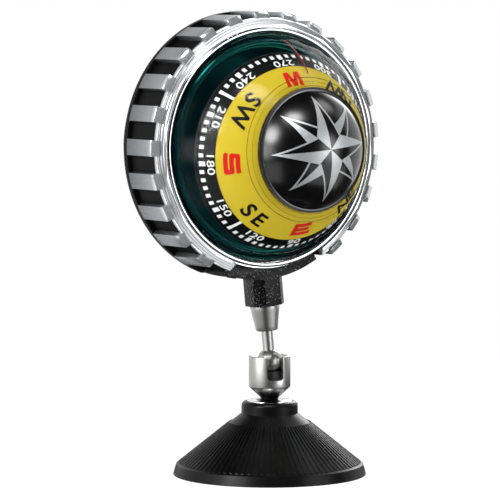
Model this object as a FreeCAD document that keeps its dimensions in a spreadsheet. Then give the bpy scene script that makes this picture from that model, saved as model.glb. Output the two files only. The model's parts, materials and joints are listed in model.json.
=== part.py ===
import FreeCAD, Part
import math
import os
from types import SimpleNamespace

import Sketcher

# Dashboard compass on a suction cup: liquid filled head, ball stud and slotted ball socket.
# Millimetres. The origin is the middle of the cup's lip, +Z is up and the dome looks along -Y.
# Three frames are used. The cup frame is the model's own. The stem frame has its origin at the
# ball's centre and +Z along the stem. The dial frame has its origin where the dial axis meets the
# front of the bezel's seat, +Z out through the dome and +Y away from the stem.

SIZES = (
    # pose of the head in the cup frame
    ("head_pitch", 1.1, "degrees that the stem leans back"),
    ("head_roll", 5.1, "degrees that the stem leans to the left of the dial"),
    ("slot_azimuth", -15.0, "degrees from -Y to the mouth of the socket slot"),
    ("card_pitch", -3.2, "degrees that the floating card noses down in the head"),
    ("card_yaw", -2.8, "degrees that the floating card looks to the left"),
    # suction cup
    ("cup_radius", 29.4, "outer radius of the lip"),
    ("lip_land", 1.0, "flat ring of the lip that meets the surface"),
    ("lip_height", 3.1, "height of the lip band"),
    ("lip_draft", 0.9, "how far the lip band leans in"),
    ("lip_ledge", 0.7, "ledge between the lip band and the ribbed cone"),
    ("ledge_rise", 0.4, "rise of that ledge"),
    ("hollow_depth", 7.0, "depth of the hollow at its middle"),
    ("rib_top_height", 15.7, "height at which the ribs end"),
    ("rib_count", 90, "radial ribs on the cone"),
    ("rib_depth", 0.35, "height of a rib above the cone"),
    ("rib_angle", 1.7, "degrees that one rib takes"),
    ("shoulder_run", 3.7, "from the ribs' end in to the collar"),
    ("shoulder_rise", 2.9, "rise of that shoulder"),
    ("collar_rim", 1.65, "rim of the collar round the flange disc"),
    ("collar_height", 2.6, "straight wall of the collar"),
    ("collar_rounding", 1.2, "height of its rounded edge"),
    ("disc_recess", 0.4, "how far the flange disc is let into the collar"),
    # stud moulded in the cup
    ("anchor_radius", 5.0, "flange of the moulded stud"),
    ("anchor_sink", 2.6, "its flange below the foot of the collar"),
    ("anchor_thickness", 1.6, "its thickness"),
    ("anchor_rod_radius", 1.5, "threaded rod"),
    ("anchor_rod_gap", 0.7, "top of the rod below the socket's bore"),
    # plated disc under the socket
    ("disc_radius", 6.9, "plated disc"),
    ("disc_thickness", 0.6, "its thickness"),
    ("disc_clearance", 0.05, "round the disc and the rod"),
    # ball socket
    ("socket_wall", 2.31, "wall of the socket round the ball"),
    ("socket_top", 1.9, "rim above the ball's centre"),
    ("socket_edge", 0.18, "chamfer of the rim's outer edge"),
    ("socket_lip", 0.93, "flat rim of the socket"),
    ("socket_neck_wall", 1.05, "wall of the neck, its narrowest place"),
    ("socket_flare", 1.6, "how far the foot flares out on the disc"),
    ("socket_flare_height", 0.65, "height of the flare"),
    ("socket_cone_rise", 3.55, "height of the cone above the flare"),
    ("socket_height", 11.7, "ball centre above the disc"),
    ("socket_grip", 1.3, "how far above its centre the seat holds the ball"),
    ("socket_floor_gap", 1.2, "bore floor below the slot's floor"),
    ("ball_clearance", 0.05, "running gap round the ball"),
    ("slot_clearance", 0.82, "between the shank and each side of the slot"),
    ("slot_floor", 5.2, "slot floor below the ball's centre"),
    ("slot_corner", 1.1, "rounded corners of the slot floor"),
    ("pad_top", 2.7, "top of the friction pad below the ball's centre"),
    ("pad_clearance", 0.1, "round the friction pad"),
    # ball stud and taper nut
    ("ball_radius", 4.0, "ball"),
    ("shank_radius", 1.73, "bare shank"),
    ("shank_length", 9.75, "ball centre to the taper nut"),
    ("thread_radius", 1.5, "threaded end"),
    ("thread_engaged", 5.8, "thread inside the boss"),
    ("taper_small_radius", 3.33, "lower end of the taper nut"),
    ("taper_growth", 1.2, "how much wider its upper end is"),
    ("taper_edge", 0.15, "edges of the taper nut"),
    ("taper_length", 7.75, "length of the taper nut"),
    # bracket
    ("boss_length", 8.3, "underside of the boss to the saddle"),
    ("stem_setback", 10.0, "stem axis behind the dial frame's origin"),
    ("boss_width", 10.6, "square boss"),
    ("boss_chamfer", 2.6, "its chamfered corners"),
    ("boss_clearance", 0.1, "between the taper nut and the boss"),
    ("insert_wall", 1.02, "wall of the brass insert"),
    ("insert_length", 7.0, "its length"),
    ("insert_groove", 0.3, "depth of its two grooves"),
    ("insert_groove_width", 1.0, "width of each groove"),
    ("insert_clearance", 0.08, "thread clearance on the radius"),
    ("saddle_wall", 1.2, "thickness of the saddle over the housing"),
    ("saddle_angle", 49.0, "degrees that the saddle spans"),
    ("saddle_lip", 2.1, "thickness of its front lip"),
    ("saddle_tail", 5.6, "how far it reaches behind the rear rim"),
    ("saddle_rear_wall", 1.2, "thickness of its rear part"),
    ("saddle_gap", 0.8, "degrees left free at each end of the saddle"),
    ("saddle_screw_angle", 17.0, "degrees from the stem to each saddle screw"),
    ("saddle_screw_depth", 4.3, "these screws behind the saddle's front"),
    # housing
    ("housing_side", 2.9, "thickness of the wall under the crown's fingers"),
    ("housing_gap", 0.2, "between the dome's flange and the wall"),
    ("housing_front", 2.4, "front edge of the wall behind the origin"),
    ("bowl_rim_height", 2.9, "height of the bowl's rim on its step"),
    ("bowl_gap", 0.2, "between the bowl and the housing"),
    ("housing_waist_drop", 1.0, "start of the inner taper behind the bowl's bend"),
    ("housing_taper", 3.2, "how far its inside tapers in"),
    ("rear_rim_width", 1.6, "black rim behind the fingers, above the wall"),
    ("rear_rim_front", 15.2, "front face of the rim behind the origin"),
    ("rear_rim_thickness", 2.0, "thickness of the rim"),
    ("rear_ball_setback", 5.6, "centre of that roundness behind the origin"),
    ("rear_room", 6.8, "bowl's floor to the flat back"),
    ("rear_lip", 2.2, "lip that carries the cover"),
    ("housing_wall", 2.2, "thickness of the back"),
    # crown ring
    ("crown_land", 0.3, "from the bezel's bead to the crown's first step"),
    ("crown_front", 0.55, "front of the innermost step"),
    ("crown_step_depth", 0.6, "fall of each step"),
    ("finger_height", 1.8, "fingers above the wall"),
    ("crown_root_gap", 0.05, "between the fingers and the wall"),
    ("finger_count", 25, "pitches round the ring"),
    ("finger_angle", 6.8, "degrees that one finger takes"),
    ("finger_root", 0.3, "how far a finger's front reaches in over the ring"),
    ("finger_bevel", 0.3, "small bevel at the outer end of the nose"),
    ("finger_nose_fall", 1.05, "fall of the chamfer"),
    ("finger_clearance", 0.1, "between the finger tips and the rear rim"),
    ("fingers_left_out", 4, "fingers that the saddle replaces"),
    ("first_finger_angle", 33.05, "degrees from the stem to the first finger on the right"),
    # bezel
    ("bezel_bead_width", 1.6, "width of the bright bead"),
    ("bezel_bead_rise", 0.53, "height of the bead over its edges"),
    ("bezel_bead_lift", 0.1, "bead's edges in front of the origin"),
    ("bezel_foot", 0.7, "height of the foot that grips the crown"),
    ("bezel_clearance", 0.06, "round that foot"),
    # dome
    ("dome_radius", 35.25, "outside of the clear dome"),
    ("dome_setback", 7.5, "its centre behind the origin"),
    ("dome_wall", 1.2, "its wall"),
    ("dome_gap", 0.08, "between the dome and the bezel"),
    ("flange_front", 1.7, "front of the dome's flange behind the origin"),
    ("flange_thickness", 1.2, "its thickness"),
    ("flange_reach", 0.65, "flange beyond the dome's own radius"),
    ("step_width", 2.85, "clear step round the star cap"),
    ("step_edge_rise", 0.35, "the step's outer edge above the dome"),
    ("step_seat_rise", 0.75, "its inner edge above the dome"),
    # star cap
    ("cap_rim_radius", 18.6, "black rim of the star cap"),
    ("cap_glue", 0.08, "glue between the cap and the dome"),
    ("cap_rim_rise", 0.95, "front of that rim above the dome"),
    ("cap_rim_width", 1.05, "width of that rim"),
    ("cap_rise", 0.55, "that foot above the dome"),
    ("cap_bulge", 10.75, "height of the bulge"),
    ("cap_wall", 1.3, "wall of the bulge"),
    ("trim_width", 0.35, "bright line round the foot of the bulge"),
    ("trim_rise", 0.2, "how far the line stands proud of the rim"),
    # seal and bowl
    ("seal_thickness", 0.7, "flat seal under the dome's flange"),
    ("seal_width", 1.5, "its width"),
    ("bowl_clearance", 0.1, "round the bowl's rim"),
    ("bowl_rim_width", 1.2, "rim of the bowl"),
    ("bowl_wall", 1.8, "wall of the bowl"),
    ("bowl_bend", 13.0, "where the bowl turns in, behind the origin"),
    ("bowl_taper_depth", 7.0, "floor behind that bend"),
    ("bowl_taper", 6.0, "how far the floor lies in from the wall"),
    ("bowl_floor_thickness", 1.6, "thickness of the floor"),
    ("vent_edge", 4.8, "holes to the expansion chamber, in from the diaphragm's clamp"),
    ("vent_radius", 1.4, "one such hole"),
    ("vent_count", 6, "number of holes"),
    ("plug_edge", 3.5, "filling plug in from the floor's edge"),
    ("plug_radius", 1.5, "its shank"),
    ("plug_head_radius", 2.3, "its head"),
    ("plug_head_height", 0.9, "height of its head"),
    # expansion diaphragm
    ("diaphragm_margin", 9.0, "rubber disc in from the floor's edge"),
    ("diaphragm_thickness", 0.7, "its thickness"),
    ("diaphragm_edge", 2.2, "width of the clamped edge"),
    ("diaphragm_dish", 1.1, "how far its middle is dished"),
    ("clamp_thickness", 0.9, "ring that clamps the edge"),
    ("clamp_clearance", 0.4, "between the ring and the dish"),
    # rear cover and screws
    ("cover_land", 3.4, "rear cover beyond the opening"),
    ("cover_thickness", 1.6, "thickness of its edge"),
    ("cover_rebate", 1.6, "foot of its bulge in from the opening"),
    ("cover_bulge", 1.3, "height of its bulge"),
    ("cover_spigot", 0.9, "how far it reaches into the housing"),
    ("cover_clearance", 0.1, "round that spigot"),
    ("breather_radius", 0.9, "hole in its middle"),
    ("cover_screw_edge", 1.5, "screws beyond the opening"),
    ("cover_screw_count", 4, "number of screws"),
    ("cover_screw_angle", 45.0, "degrees from +X to the first screw"),
    ("screw_radius", 0.9, "shank of a screw"),
    ("screw_head_radius", 1.5, "head of a screw"),
    ("screw_head_height", 0.7, "height of the head"),
    ("cover_screw_length", 3.6, "cover screw under its head"),
    ("saddle_screw_length", 2.9, "saddle screw under its head"),
    ("saddle_screw_sink", 0.5, "how far its head is let into the saddle"),
    # pivot
    ("post_wall", 2.0, "wall of the post round the pin"),
    ("post_flare", 2.4, "how far its foot flares out"),
    ("post_foot_height", 1.2, "height of the foot"),
    ("post_top", 10.0, "top of the post behind the origin"),
    ("pin_radius", 0.6, "steel pivot pin"),
    ("pin_sink", 3.0, "how deep it sits in the post"),
    ("pin_point", 0.9, "length of its cone"),
    ("pivot_gap", 0.06, "running gap at the point"),
    # floating card
    ("card_clearance", 0.65, "between the card and the dome"),
    ("band_step", 0.2, "how far the black band lies below the yellow one"),
    ("band_width", 3.6, "black band, measured across the axis"),
    ("card_edge_inset", 3.9, "edge of the card in from its own radius"),
    ("card_wall", 1.3, "wall of the card"),
    ("plate_thickness", 1.1, "plate that closes the float"),
    ("hub_wall", 1.5, "wall of the plate's hub round the jewel"),
    ("hub_drop", 1.1, "how far the hub reaches below the pivot"),
    ("jewel_radius", 1.9, "jewel cup"),
    ("jewel_height", 3.0, "its height above the pivot"),
    ("jewel_rim", 0.7, "rim round its cone"),
    ("magnet_length", 22.0, "bar magnet"),
    ("magnet_width", 3.0, "its width"),
    ("magnet_height", 2.6, "its height"),
    ("magnet_gap", 2.1, "between the hub and each magnet"),
    # lubber line
    ("lubber_width_angle", 0.9, "degrees that the red line takes"),
    ("lubber_thickness", 0.15, "its thickness"),
    ("lubber_angle", 78.8, "degrees from +X to the line"),
    ("lubber_edge", 1.75, "its outer end in from the dome's inside"),
    ("lubber_reach", 9.7, "how far in towards the axis it goes"),
    # cutting
    ("overrun", 2.0, "how far a cutting profile runs past the solid"),
)


class Size:
    """A size as a number and as the sheet expression that gives it."""

    def __init__(self, value, text):
        self.value = value
        self.text = text

    def __add__(self, other):
        other = as_size(other)
        return Size(self.value + other.value, f"({self.text} + {other.text})")

    def __sub__(self, other):
        other = as_size(other)
        return Size(self.value - other.value, f"({self.text} - {other.text})")

    def __mul__(self, other):
        other = as_size(other)
        return Size(self.value * other.value, f"({self.text} * {other.text})")

    def __truediv__(self, other):
        other = as_size(other)
        return Size(self.value / other.value, f"({self.text} / {other.text})")

    def __neg__(self):
        return Size(-self.value, f"(0 - {self.text})")


def as_size(number):
    if isinstance(number, Size):
        return number
    return Size(float(number), repr(number))


def root(size):
    return Size(math.sqrt(size.value), f"sqrt({size.text})")


def roundness(half_chord, rise):
    """Radius of the arc that rises so much in the middle of a chord."""
    return (half_chord * half_chord + rise * rise) / (rise * 2)


def leg(hypotenuse, other):
    """The second leg of a right triangle, such as the height of a sphere over a radius."""
    return root(hypotenuse * hypotenuse - other * other)


ZERO = Size(0.0, "0")


def make_sheet(doc):
    """Fill the sheet and return its sizes by name."""
    sheet = doc.addObject("Spreadsheet::Sheet", "Sizes")
    names = {}
    for row, (alias, value, note) in enumerate(SIZES, start=1):
        sheet.set(f"A{row}", alias)
        sheet.set(f"B{row}", str(value))
        sheet.setAlias(f"B{row}", alias)
        sheet.set(f"C{row}", note)
        names[alias] = Size(float(value), f"Sizes.{alias}")
    doc.recompute()
    s = SimpleNamespace(**names)
    derive_stand(s)
    derive_head(s)
    derive_inside(s)
    return s


def derive_stand(s):
    """Sizes of the cup, the socket and the stem that follow from the driving ones."""
    s.collar_radius = s.disc_radius + s.disc_clearance + s.collar_rim
    s.rib_top_radius = s.collar_radius + s.shoulder_run
    s.collar_base_height = s.rib_top_height + s.shoulder_rise
    s.collar_shoulder_height = s.collar_base_height + s.collar_height
    s.collar_top_height = s.collar_shoulder_height + s.collar_rounding
    s.anchor_base_height = s.collar_base_height - s.anchor_sink
    s.disc_top = s.collar_top_height - s.disc_recess + s.disc_thickness
    s.ball_height = s.disc_top + s.socket_height
    s.socket_floor = s.slot_floor + s.socket_floor_gap
    s.anchor_rod_top = s.ball_height - s.socket_floor - s.anchor_rod_gap
    s.socket_radius = s.ball_radius + s.ball_clearance + s.socket_wall
    s.socket_mouth_radius = s.socket_radius - s.socket_lip
    s.socket_neck_radius = s.anchor_rod_radius + s.disc_clearance + s.socket_neck_wall
    s.socket_foot_radius = s.socket_neck_radius + s.socket_flare
    s.socket_cone_height = s.socket_flare_height + s.socket_cone_rise
    s.slot_width = (s.shank_radius + s.slot_clearance) * 2
    s.taper_large_radius = s.taper_small_radius + s.taper_growth
    s.taper_top = s.shank_length + s.taper_length
    s.boss_bottom = s.taper_top + s.boss_clearance
    s.thread_top = s.boss_bottom + s.thread_engaged
    s.insert_radius = s.thread_radius + s.insert_clearance + s.insert_wall


def derive_head(s):
    """Sizes of the head's outside, from the dome outwards and then backwards."""
    s.flange_radius = s.dome_radius + s.flange_reach
    s.bezel_inner_radius = leg(s.dome_radius, s.dome_setback + s.bezel_bead_lift) + s.dome_gap
    s.bezel_outer_radius = s.bezel_inner_radius + s.bezel_bead_width
    s.crown_bore = s.bezel_outer_radius + s.crown_land
    s.housing_bore = s.flange_radius + s.housing_gap
    s.housing_radius = s.housing_bore + s.housing_side
    s.crown_tip_radius = s.housing_radius + s.finger_height
    s.finger_inner_radius = s.housing_radius - s.finger_root
    s.finger_nose_radius = s.crown_tip_radius - s.finger_bevel
    s.rear_rim_radius = s.housing_radius + s.rear_rim_width
    s.rear_rim_back = s.rear_rim_front + s.rear_rim_thickness
    s.rear_ball_radius = s.rear_rim_radius
    s.saddle_radius = s.housing_radius + s.saddle_wall
    s.saddle_rear = s.rear_rim_back + s.saddle_tail
    s.saddle_front = s.stem_setback - s.boss_width / 2
    s.stem_length = s.boss_bottom + s.boss_length + s.saddle_radius
    s.step_radius = s.cap_rim_radius + s.step_width
    s.cap_radius = s.cap_rim_radius - s.cap_rim_width
    s.cap_curve_radius = roundness(s.cap_radius, s.cap_bulge)


def derive_inside(s):
    """Sizes of what the head holds, from its wall inwards, and of the floating card."""
    s.seal_inner_radius = s.flange_radius - s.seal_width
    s.bowl_top = s.flange_front + s.flange_thickness + s.seal_thickness
    s.bowl_rim_radius = s.housing_bore - s.bowl_clearance
    s.bowl_outer_radius = s.bowl_rim_radius - s.bowl_rim_width
    s.bowl_inner_radius = s.bowl_outer_radius - s.bowl_wall
    s.bowl_floor_radius = s.bowl_inner_radius - s.bowl_taper
    s.bowl_floor = s.bowl_bend + s.bowl_taper_depth
    s.bowl_back = s.bowl_floor + s.bowl_floor_thickness
    s.housing_seat = s.bowl_top + s.bowl_rim_height
    s.housing_inner_radius = s.bowl_outer_radius + s.bowl_gap
    s.housing_waist = s.bowl_bend + s.housing_waist_drop
    s.housing_rear_bore = s.housing_inner_radius - s.housing_taper
    s.housing_back = s.bowl_back + s.rear_room
    s.housing_opening = s.housing_rear_bore - s.rear_lip
    s.diaphragm_radius = s.bowl_floor_radius - s.diaphragm_margin
    s.vent_place = s.diaphragm_radius - s.diaphragm_edge - s.vent_edge
    s.plug_place = s.bowl_floor_radius - s.plug_edge
    s.cover_radius = s.housing_opening + s.cover_land
    s.cover_bulge_radius = s.housing_opening - s.cover_rebate
    s.cover_screw_place = s.housing_opening + s.cover_screw_edge
    s.post_radius = s.pin_radius + s.post_wall
    s.post_foot_radius = s.post_radius + s.post_flare
    s.dome_inner_radius = s.dome_radius - s.dome_wall
    s.lubber_foot_radius = s.dome_inner_radius - s.lubber_edge
    s.lubber_tip_radius = s.lubber_foot_radius - s.lubber_reach
    s.card_radius = s.dome_inner_radius - s.card_clearance
    s.card_edge_radius = s.card_radius - s.card_edge_inset
    s.band_edge_radius = s.card_edge_radius - s.band_width
    s.hub_radius = s.jewel_radius + s.hub_wall
    s.jewel_cone_radius = s.jewel_radius - s.jewel_rim
    s.magnet_place = s.hub_radius + s.magnet_gap + s.magnet_width / 2


class Outline:
    """A closed outline of lines and arcs of less than half a circle."""

    def __init__(self, x, y):
        self.points = [(x, y)]
        self.edges = []

    def line(self, x, y):
        self.edges.append(None)
        self.points.append((x, y))
        return self

    def arc(self, x, y, radius, left):
        self.edges.append((radius, left))
        self.points.append((x, y))
        return self

    def close(self):
        self.edges.append(None)
        return self

    def close_arc(self, radius, left):
        self.edges.append((radius, left))
        return self


def arc_geometry(start, end, radius, left):
    """The arc from start to end that turns left or right round its centre."""
    if not left:
        start, end = end, start
    middle = (start + end) / 2
    chord = end - start
    side = FreeCAD.Vector(-chord.y, chord.x, 0)
    side.normalize()
    rise = math.sqrt(max(radius * radius - chord.Length * chord.Length / 4, 0.0))
    centre = middle + side * rise
    circle = Part.Circle(centre, FreeCAD.Vector(0, 0, 1), radius)
    first = math.atan2(start.y - centre.y, start.x - centre.x)
    last = math.atan2(end.y - centre.y, end.x - centre.x)
    if last < first:
        last += 2 * math.pi
    return Part.ArcOfCircle(circle, first, last)


def draw(sketch, outline):
    """Put an outline into a sketch with every point tied to the sheet."""
    spots = [FreeCAD.Vector(x.value, y.value, 0) for x, y in outline.points]
    count = len(outline.points)
    ends = []
    for index in range(count):
        start = spots[index]
        end = spots[(index + 1) % count]
        edge = outline.edges[index]
        if edge is None:
            number = sketch.addGeometry(Part.LineSegment(start, end))
            ends.append((number, 1, 2))
        else:
            radius, left = edge
            number = sketch.addGeometry(arc_geometry(start, end, radius.value, left))
            ends.append((number, 1, 2) if left else (number, 2, 1))
            rule = sketch.addConstraint(Sketcher.Constraint("Radius", number, radius.value))
            sketch.setExpression(f"Constraints[{rule}]", radius.text)
    for index in range(count):
        number, first, last = ends[index]
        after, after_first, after_last = ends[(index + 1) % count]
        sketch.addConstraint(Sketcher.Constraint("Coincident", number, last, after, after_first))
        for kind, size in zip(("DistanceX", "DistanceY"), outline.points[index]):
            rule = sketch.addConstraint(Sketcher.Constraint(kind, -1, 1, number, first, size.value))
            if size is not ZERO:
                sketch.setExpression(f"Constraints[{rule}]", size.text)


def new_body(doc, label):
    body = doc.addObject("PartDesign::Body", label)
    body.Label = label
    return body


def origin_plane(body, role):
    for feature in body.Origin.OriginFeatures:
        if feature.Role == role:
            return feature
    raise RuntimeError(f"{body.Label} has no {role}")


def new_sketch(body, outline, role="XZ_Plane", turn=None, shift_x=None, shift_y=None, lift=None):
    """A sketch on an origin plane, turned round its own vertical, then shifted in or off the plane."""
    sketch = body.newObject("Sketcher::SketchObject", f"{body.Name}_sketch")
    sketch.AttachmentSupport = [(origin_plane(body, role), "")]
    sketch.MapMode = "FlatFace"
    if turn is not None:
        turning = FreeCAD.Rotation(FreeCAD.Vector(0, 1, 0), turn.value)
        shift = shift_x.value if shift_x is not None else 0.0
        place = turning.multVec(FreeCAD.Vector(shift, 0, 0))
        sketch.AttachmentOffset = FreeCAD.Placement(place, turning)
    if shift_y is not None:
        sketch.setExpression("AttachmentOffset.Base.y", shift_y.text)
    if lift is not None:
        sketch.setExpression("AttachmentOffset.Base.z", lift.text)
    draw(sketch, outline)
    return sketch


def turned(body, outline, angle=None, turn=None, cut=False, axis="V_Axis", shift_x=None, shift_y=None):
    """A revolution or groove of an outline round one of its sketch's axes."""
    kind = "PartDesign::Groove" if cut else "PartDesign::Revolution"
    sketch = new_sketch(body, outline, turn=turn, shift_x=shift_x, shift_y=shift_y)
    feature = body.newObject(kind, f"{body.Name}_turned")
    feature.Profile = sketch
    feature.ReferenceAxis = (sketch, [axis])
    feature.Angle = 360
    if angle is not None:
        feature.Midplane = True
        feature.setExpression("Angle", angle.text)
    return feature


def pocketed(body, outline, role, depth, lift=None, turn=None, reverse=False):
    """A pocket of an outline into the solid."""
    sketch = new_sketch(body, outline, role=role, lift=lift, turn=turn)
    feature = body.newObject("PartDesign::Pocket", f"{body.Name}_pocket")
    feature.Profile = sketch
    feature.Reversed = reverse
    feature.setExpression("Length", depth.text)
    return feature


def padded(body, outline, role, height, lift=None, reverse=False, both=False):
    """A pad of an outline, to one side of its plane or to both."""
    sketch = new_sketch(body, outline, role=role, lift=lift)
    feature = body.newObject("PartDesign::Pad", f"{body.Name}_pad")
    feature.Profile = sketch
    feature.Reversed = reverse
    feature.Midplane = both
    feature.setExpression("Length", height.text)
    return feature


def patterned(doc, body, originals, count, angle=None):
    """Copies of features, evenly round the body's Z axis or spread over an angle."""
    doc.recompute()
    pattern = body.newObject("PartDesign::PolarPattern", f"{body.Name}_pattern")
    pattern.Originals = originals
    pattern.Axis = (origin_plane(body, "Z_Axis"), [""])
    pattern.Angle = 360
    if angle is not None:
        pattern.setExpression("Angle", angle.text)
    pattern.setExpression("Occurrences", count.text)
    body.Tip = pattern
    return pattern


def box_outline(left, bottom, right, top):
    return Outline(left, bottom).line(right, bottom).line(right, top).line(left, top).close()


def tube_outline(inner, outer, bottom, top):
    return box_outline(inner, bottom, outer, top)


def disc_outline(centre_x, centre_y, radius):
    """A circle as two arcs that each stay a touch under half a turn."""
    return (
        Outline(centre_x + radius, centre_y)
        .arc(centre_x, centre_y + radius, radius, True)
        .arc(centre_x - radius, centre_y, radius, True)
        .arc(centre_x, centre_y - radius, radius, True)
        .close_arc(radius, True)
    )


# Suction cup and what is fixed to it, in the cup frame


def suction_cup(doc, s):
    body = new_body(doc, "suction_cup")
    mouth = s.cup_radius - s.lip_land
    ledge_radius = s.cup_radius - s.lip_draft - s.lip_ledge
    ledge_height = s.lip_height + s.ledge_rise
    recess = s.collar_top_height - s.disc_recess
    recess_radius = s.disc_radius + s.disc_clearance
    outline = (
        Outline(mouth, ZERO)
        .line(s.cup_radius, ZERO)
        .line(s.cup_radius - s.lip_draft, s.lip_height)
        .line(ledge_radius, ledge_height)
        .line(s.rib_top_radius, s.rib_top_height)
        .line(s.collar_radius, s.collar_base_height)
        .line(s.collar_radius, s.collar_shoulder_height)
        .arc(recess_radius, s.collar_top_height, s.collar_radius - recess_radius, True)
        .line(recess_radius, recess)
        .line(s.anchor_rod_radius, recess)
        .line(s.anchor_rod_radius, s.anchor_base_height + s.anchor_thickness)
        .line(s.anchor_radius, s.anchor_base_height + s.anchor_thickness)
        .line(s.anchor_radius, s.anchor_base_height)
        .line(ZERO, s.anchor_base_height)
        .line(ZERO, s.hollow_depth)
        .close_arc(roundness(mouth, s.hollow_depth), False)
    )
    turned(body, outline)
    rise = s.rib_top_height - ledge_height
    run = ledge_radius - s.rib_top_radius
    slope = root(rise * rise + run * run)
    out = s.rib_depth * rise / slope
    lift = s.rib_depth * run / slope
    rib = (
        Outline(ledge_radius - s.rib_depth, ledge_height)
        .line(ledge_radius, ledge_height)
        .line(ledge_radius + out - s.rib_depth, ledge_height + lift)
        .line(s.rib_top_radius + out, s.rib_top_height + lift)
        .line(s.rib_top_radius, s.rib_top_height)
        .line(s.rib_top_radius - s.rib_depth, s.rib_top_height - s.rib_depth)
        .close()
    )
    ribs = turned(body, rib, angle=s.rib_angle)
    patterned(doc, body, [ribs], s.rib_count)
    return body


def cup_anchor(doc, s):
    body = new_body(doc, "cup_anchor")
    flange_top = s.anchor_base_height + s.anchor_thickness
    outline = (
        Outline(ZERO, s.anchor_base_height)
        .line(s.anchor_radius, s.anchor_base_height)
        .line(s.anchor_radius, flange_top)
        .line(s.anchor_rod_radius, flange_top)
        .line(s.anchor_rod_radius, s.anchor_rod_top)
        .line(ZERO, s.anchor_rod_top)
        .close()
    )
    turned(body, outline)
    return body


def flange_disc(doc, s):
    body = new_body(doc, "flange_disc")
    bottom = s.collar_top_height - s.disc_recess
    bore = s.anchor_rod_radius + s.disc_clearance
    turned(body, tube_outline(bore, s.disc_radius, bottom, bottom + s.disc_thickness))
    return body


def ball_socket(doc, s):
    body = new_body(doc, "ball_socket")
    foot = s.disc_top
    seat = s.ball_radius + s.ball_clearance
    rod_bore = s.anchor_rod_radius + s.disc_clearance
    rim = s.ball_height + s.socket_top
    flare = s.socket_foot_radius - s.socket_neck_radius
    rise = s.socket_flare_height
    outline = (
        Outline(rod_bore, foot)
        .line(s.socket_foot_radius, foot)
        .arc(s.socket_neck_radius, foot + rise, roundness(flare, rise), False)
        .line(s.socket_radius, foot + s.socket_cone_height)
        .line(s.socket_radius, rim - s.socket_edge)
        .line(s.socket_radius - s.socket_edge, rim)
        .line(s.socket_mouth_radius, rim)
        .line(leg(seat, s.socket_grip), s.ball_height + s.socket_grip)
        .arc(seat, s.ball_height, seat, False)
        .line(seat, s.ball_height - s.socket_floor)
        .line(rod_bore, s.ball_height - s.socket_floor)
        .close()
    )
    turned(body, outline)
    half = s.slot_width / 2
    floor = s.ball_height - s.slot_floor
    slot = (
        Outline(-half, rim + s.overrun)
        .line(-half, floor + s.slot_corner)
        .arc(-half + s.slot_corner, floor, s.slot_corner, True)
        .line(half - s.slot_corner, floor)
        .arc(half, floor + s.slot_corner, s.slot_corner, True)
        .line(half, rim + s.overrun)
        .close()
    )
    # the mouth of the slot is cut out to one side only
    pocketed(body, slot, "XZ_Plane", s.socket_radius + s.overrun, turn=s.slot_azimuth, reverse=True)
    return body


def friction_pad(doc, s):
    body = new_body(doc, "friction_pad")
    dish = s.ball_radius + s.ball_clearance
    outer = dish - s.pad_clearance
    floor = s.ball_height - s.socket_floor
    top = s.ball_height - s.pad_top
    outline = (
        Outline(ZERO, floor)
        .line(outer, floor)
        .line(outer, top)
        .line(leg(dish, s.pad_top), top)
        .arc(ZERO, s.ball_height - dish, dish, False)
        .close()
    )
    turned(body, outline)
    return body


# Ball stud, in the stem frame


def ball_stud(doc, s):
    body = new_body(doc, "ball_stud")
    outline = (
        Outline(ZERO, -s.ball_radius)
        .arc(s.shank_radius, leg(s.ball_radius, s.shank_radius), s.ball_radius, True)
        .line(s.shank_radius, s.shank_length)
        .line(s.thread_radius, s.shank_length)
        .line(s.thread_radius, s.thread_top)
        .line(ZERO, s.thread_top)
        .close()
    )
    turned(body, outline)
    return body


def taper_nut(doc, s):
    body = new_body(doc, "taper_nut")
    outline = (
        Outline(s.thread_radius, s.shank_length)
        .line(s.taper_small_radius - s.taper_edge, s.shank_length)
        .line(s.taper_small_radius, s.shank_length + s.taper_edge)
        .line(s.taper_large_radius, s.taper_top - s.taper_edge)
        .line(s.taper_large_radius - s.taper_edge, s.taper_top)
        .line(s.thread_radius, s.taper_top)
        .close()
    )
    turned(body, outline)
    return body


def thread_insert(doc, s):
    body = new_body(doc, "thread_insert")
    bore = s.thread_radius + s.insert_clearance
    top = s.boss_bottom + s.insert_length
    turned(body, tube_outline(bore, s.insert_radius, s.boss_bottom, top))
    for share in (1, 2):
        middle = s.boss_bottom + s.insert_length * share / 3
        groove = tube_outline(
            s.insert_radius - s.insert_groove,
            s.insert_radius + s.overrun,
            middle - s.insert_groove_width / 2,
            middle + s.insert_groove_width / 2,
        )
        turned(body, groove, cut=True)
    return body


# Head, in the dial frame

DOWN = as_size(-90.0)
CROWN_STEP_SHARES = (0.34, 0.58, 0.8, 1.0)


def rear_ball(s, depth, grown=ZERO):
    """Radius of the round back, or of a surface outside it, at a depth behind the origin."""
    return leg(s.rear_ball_radius + grown, depth - s.rear_ball_setback)


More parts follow.
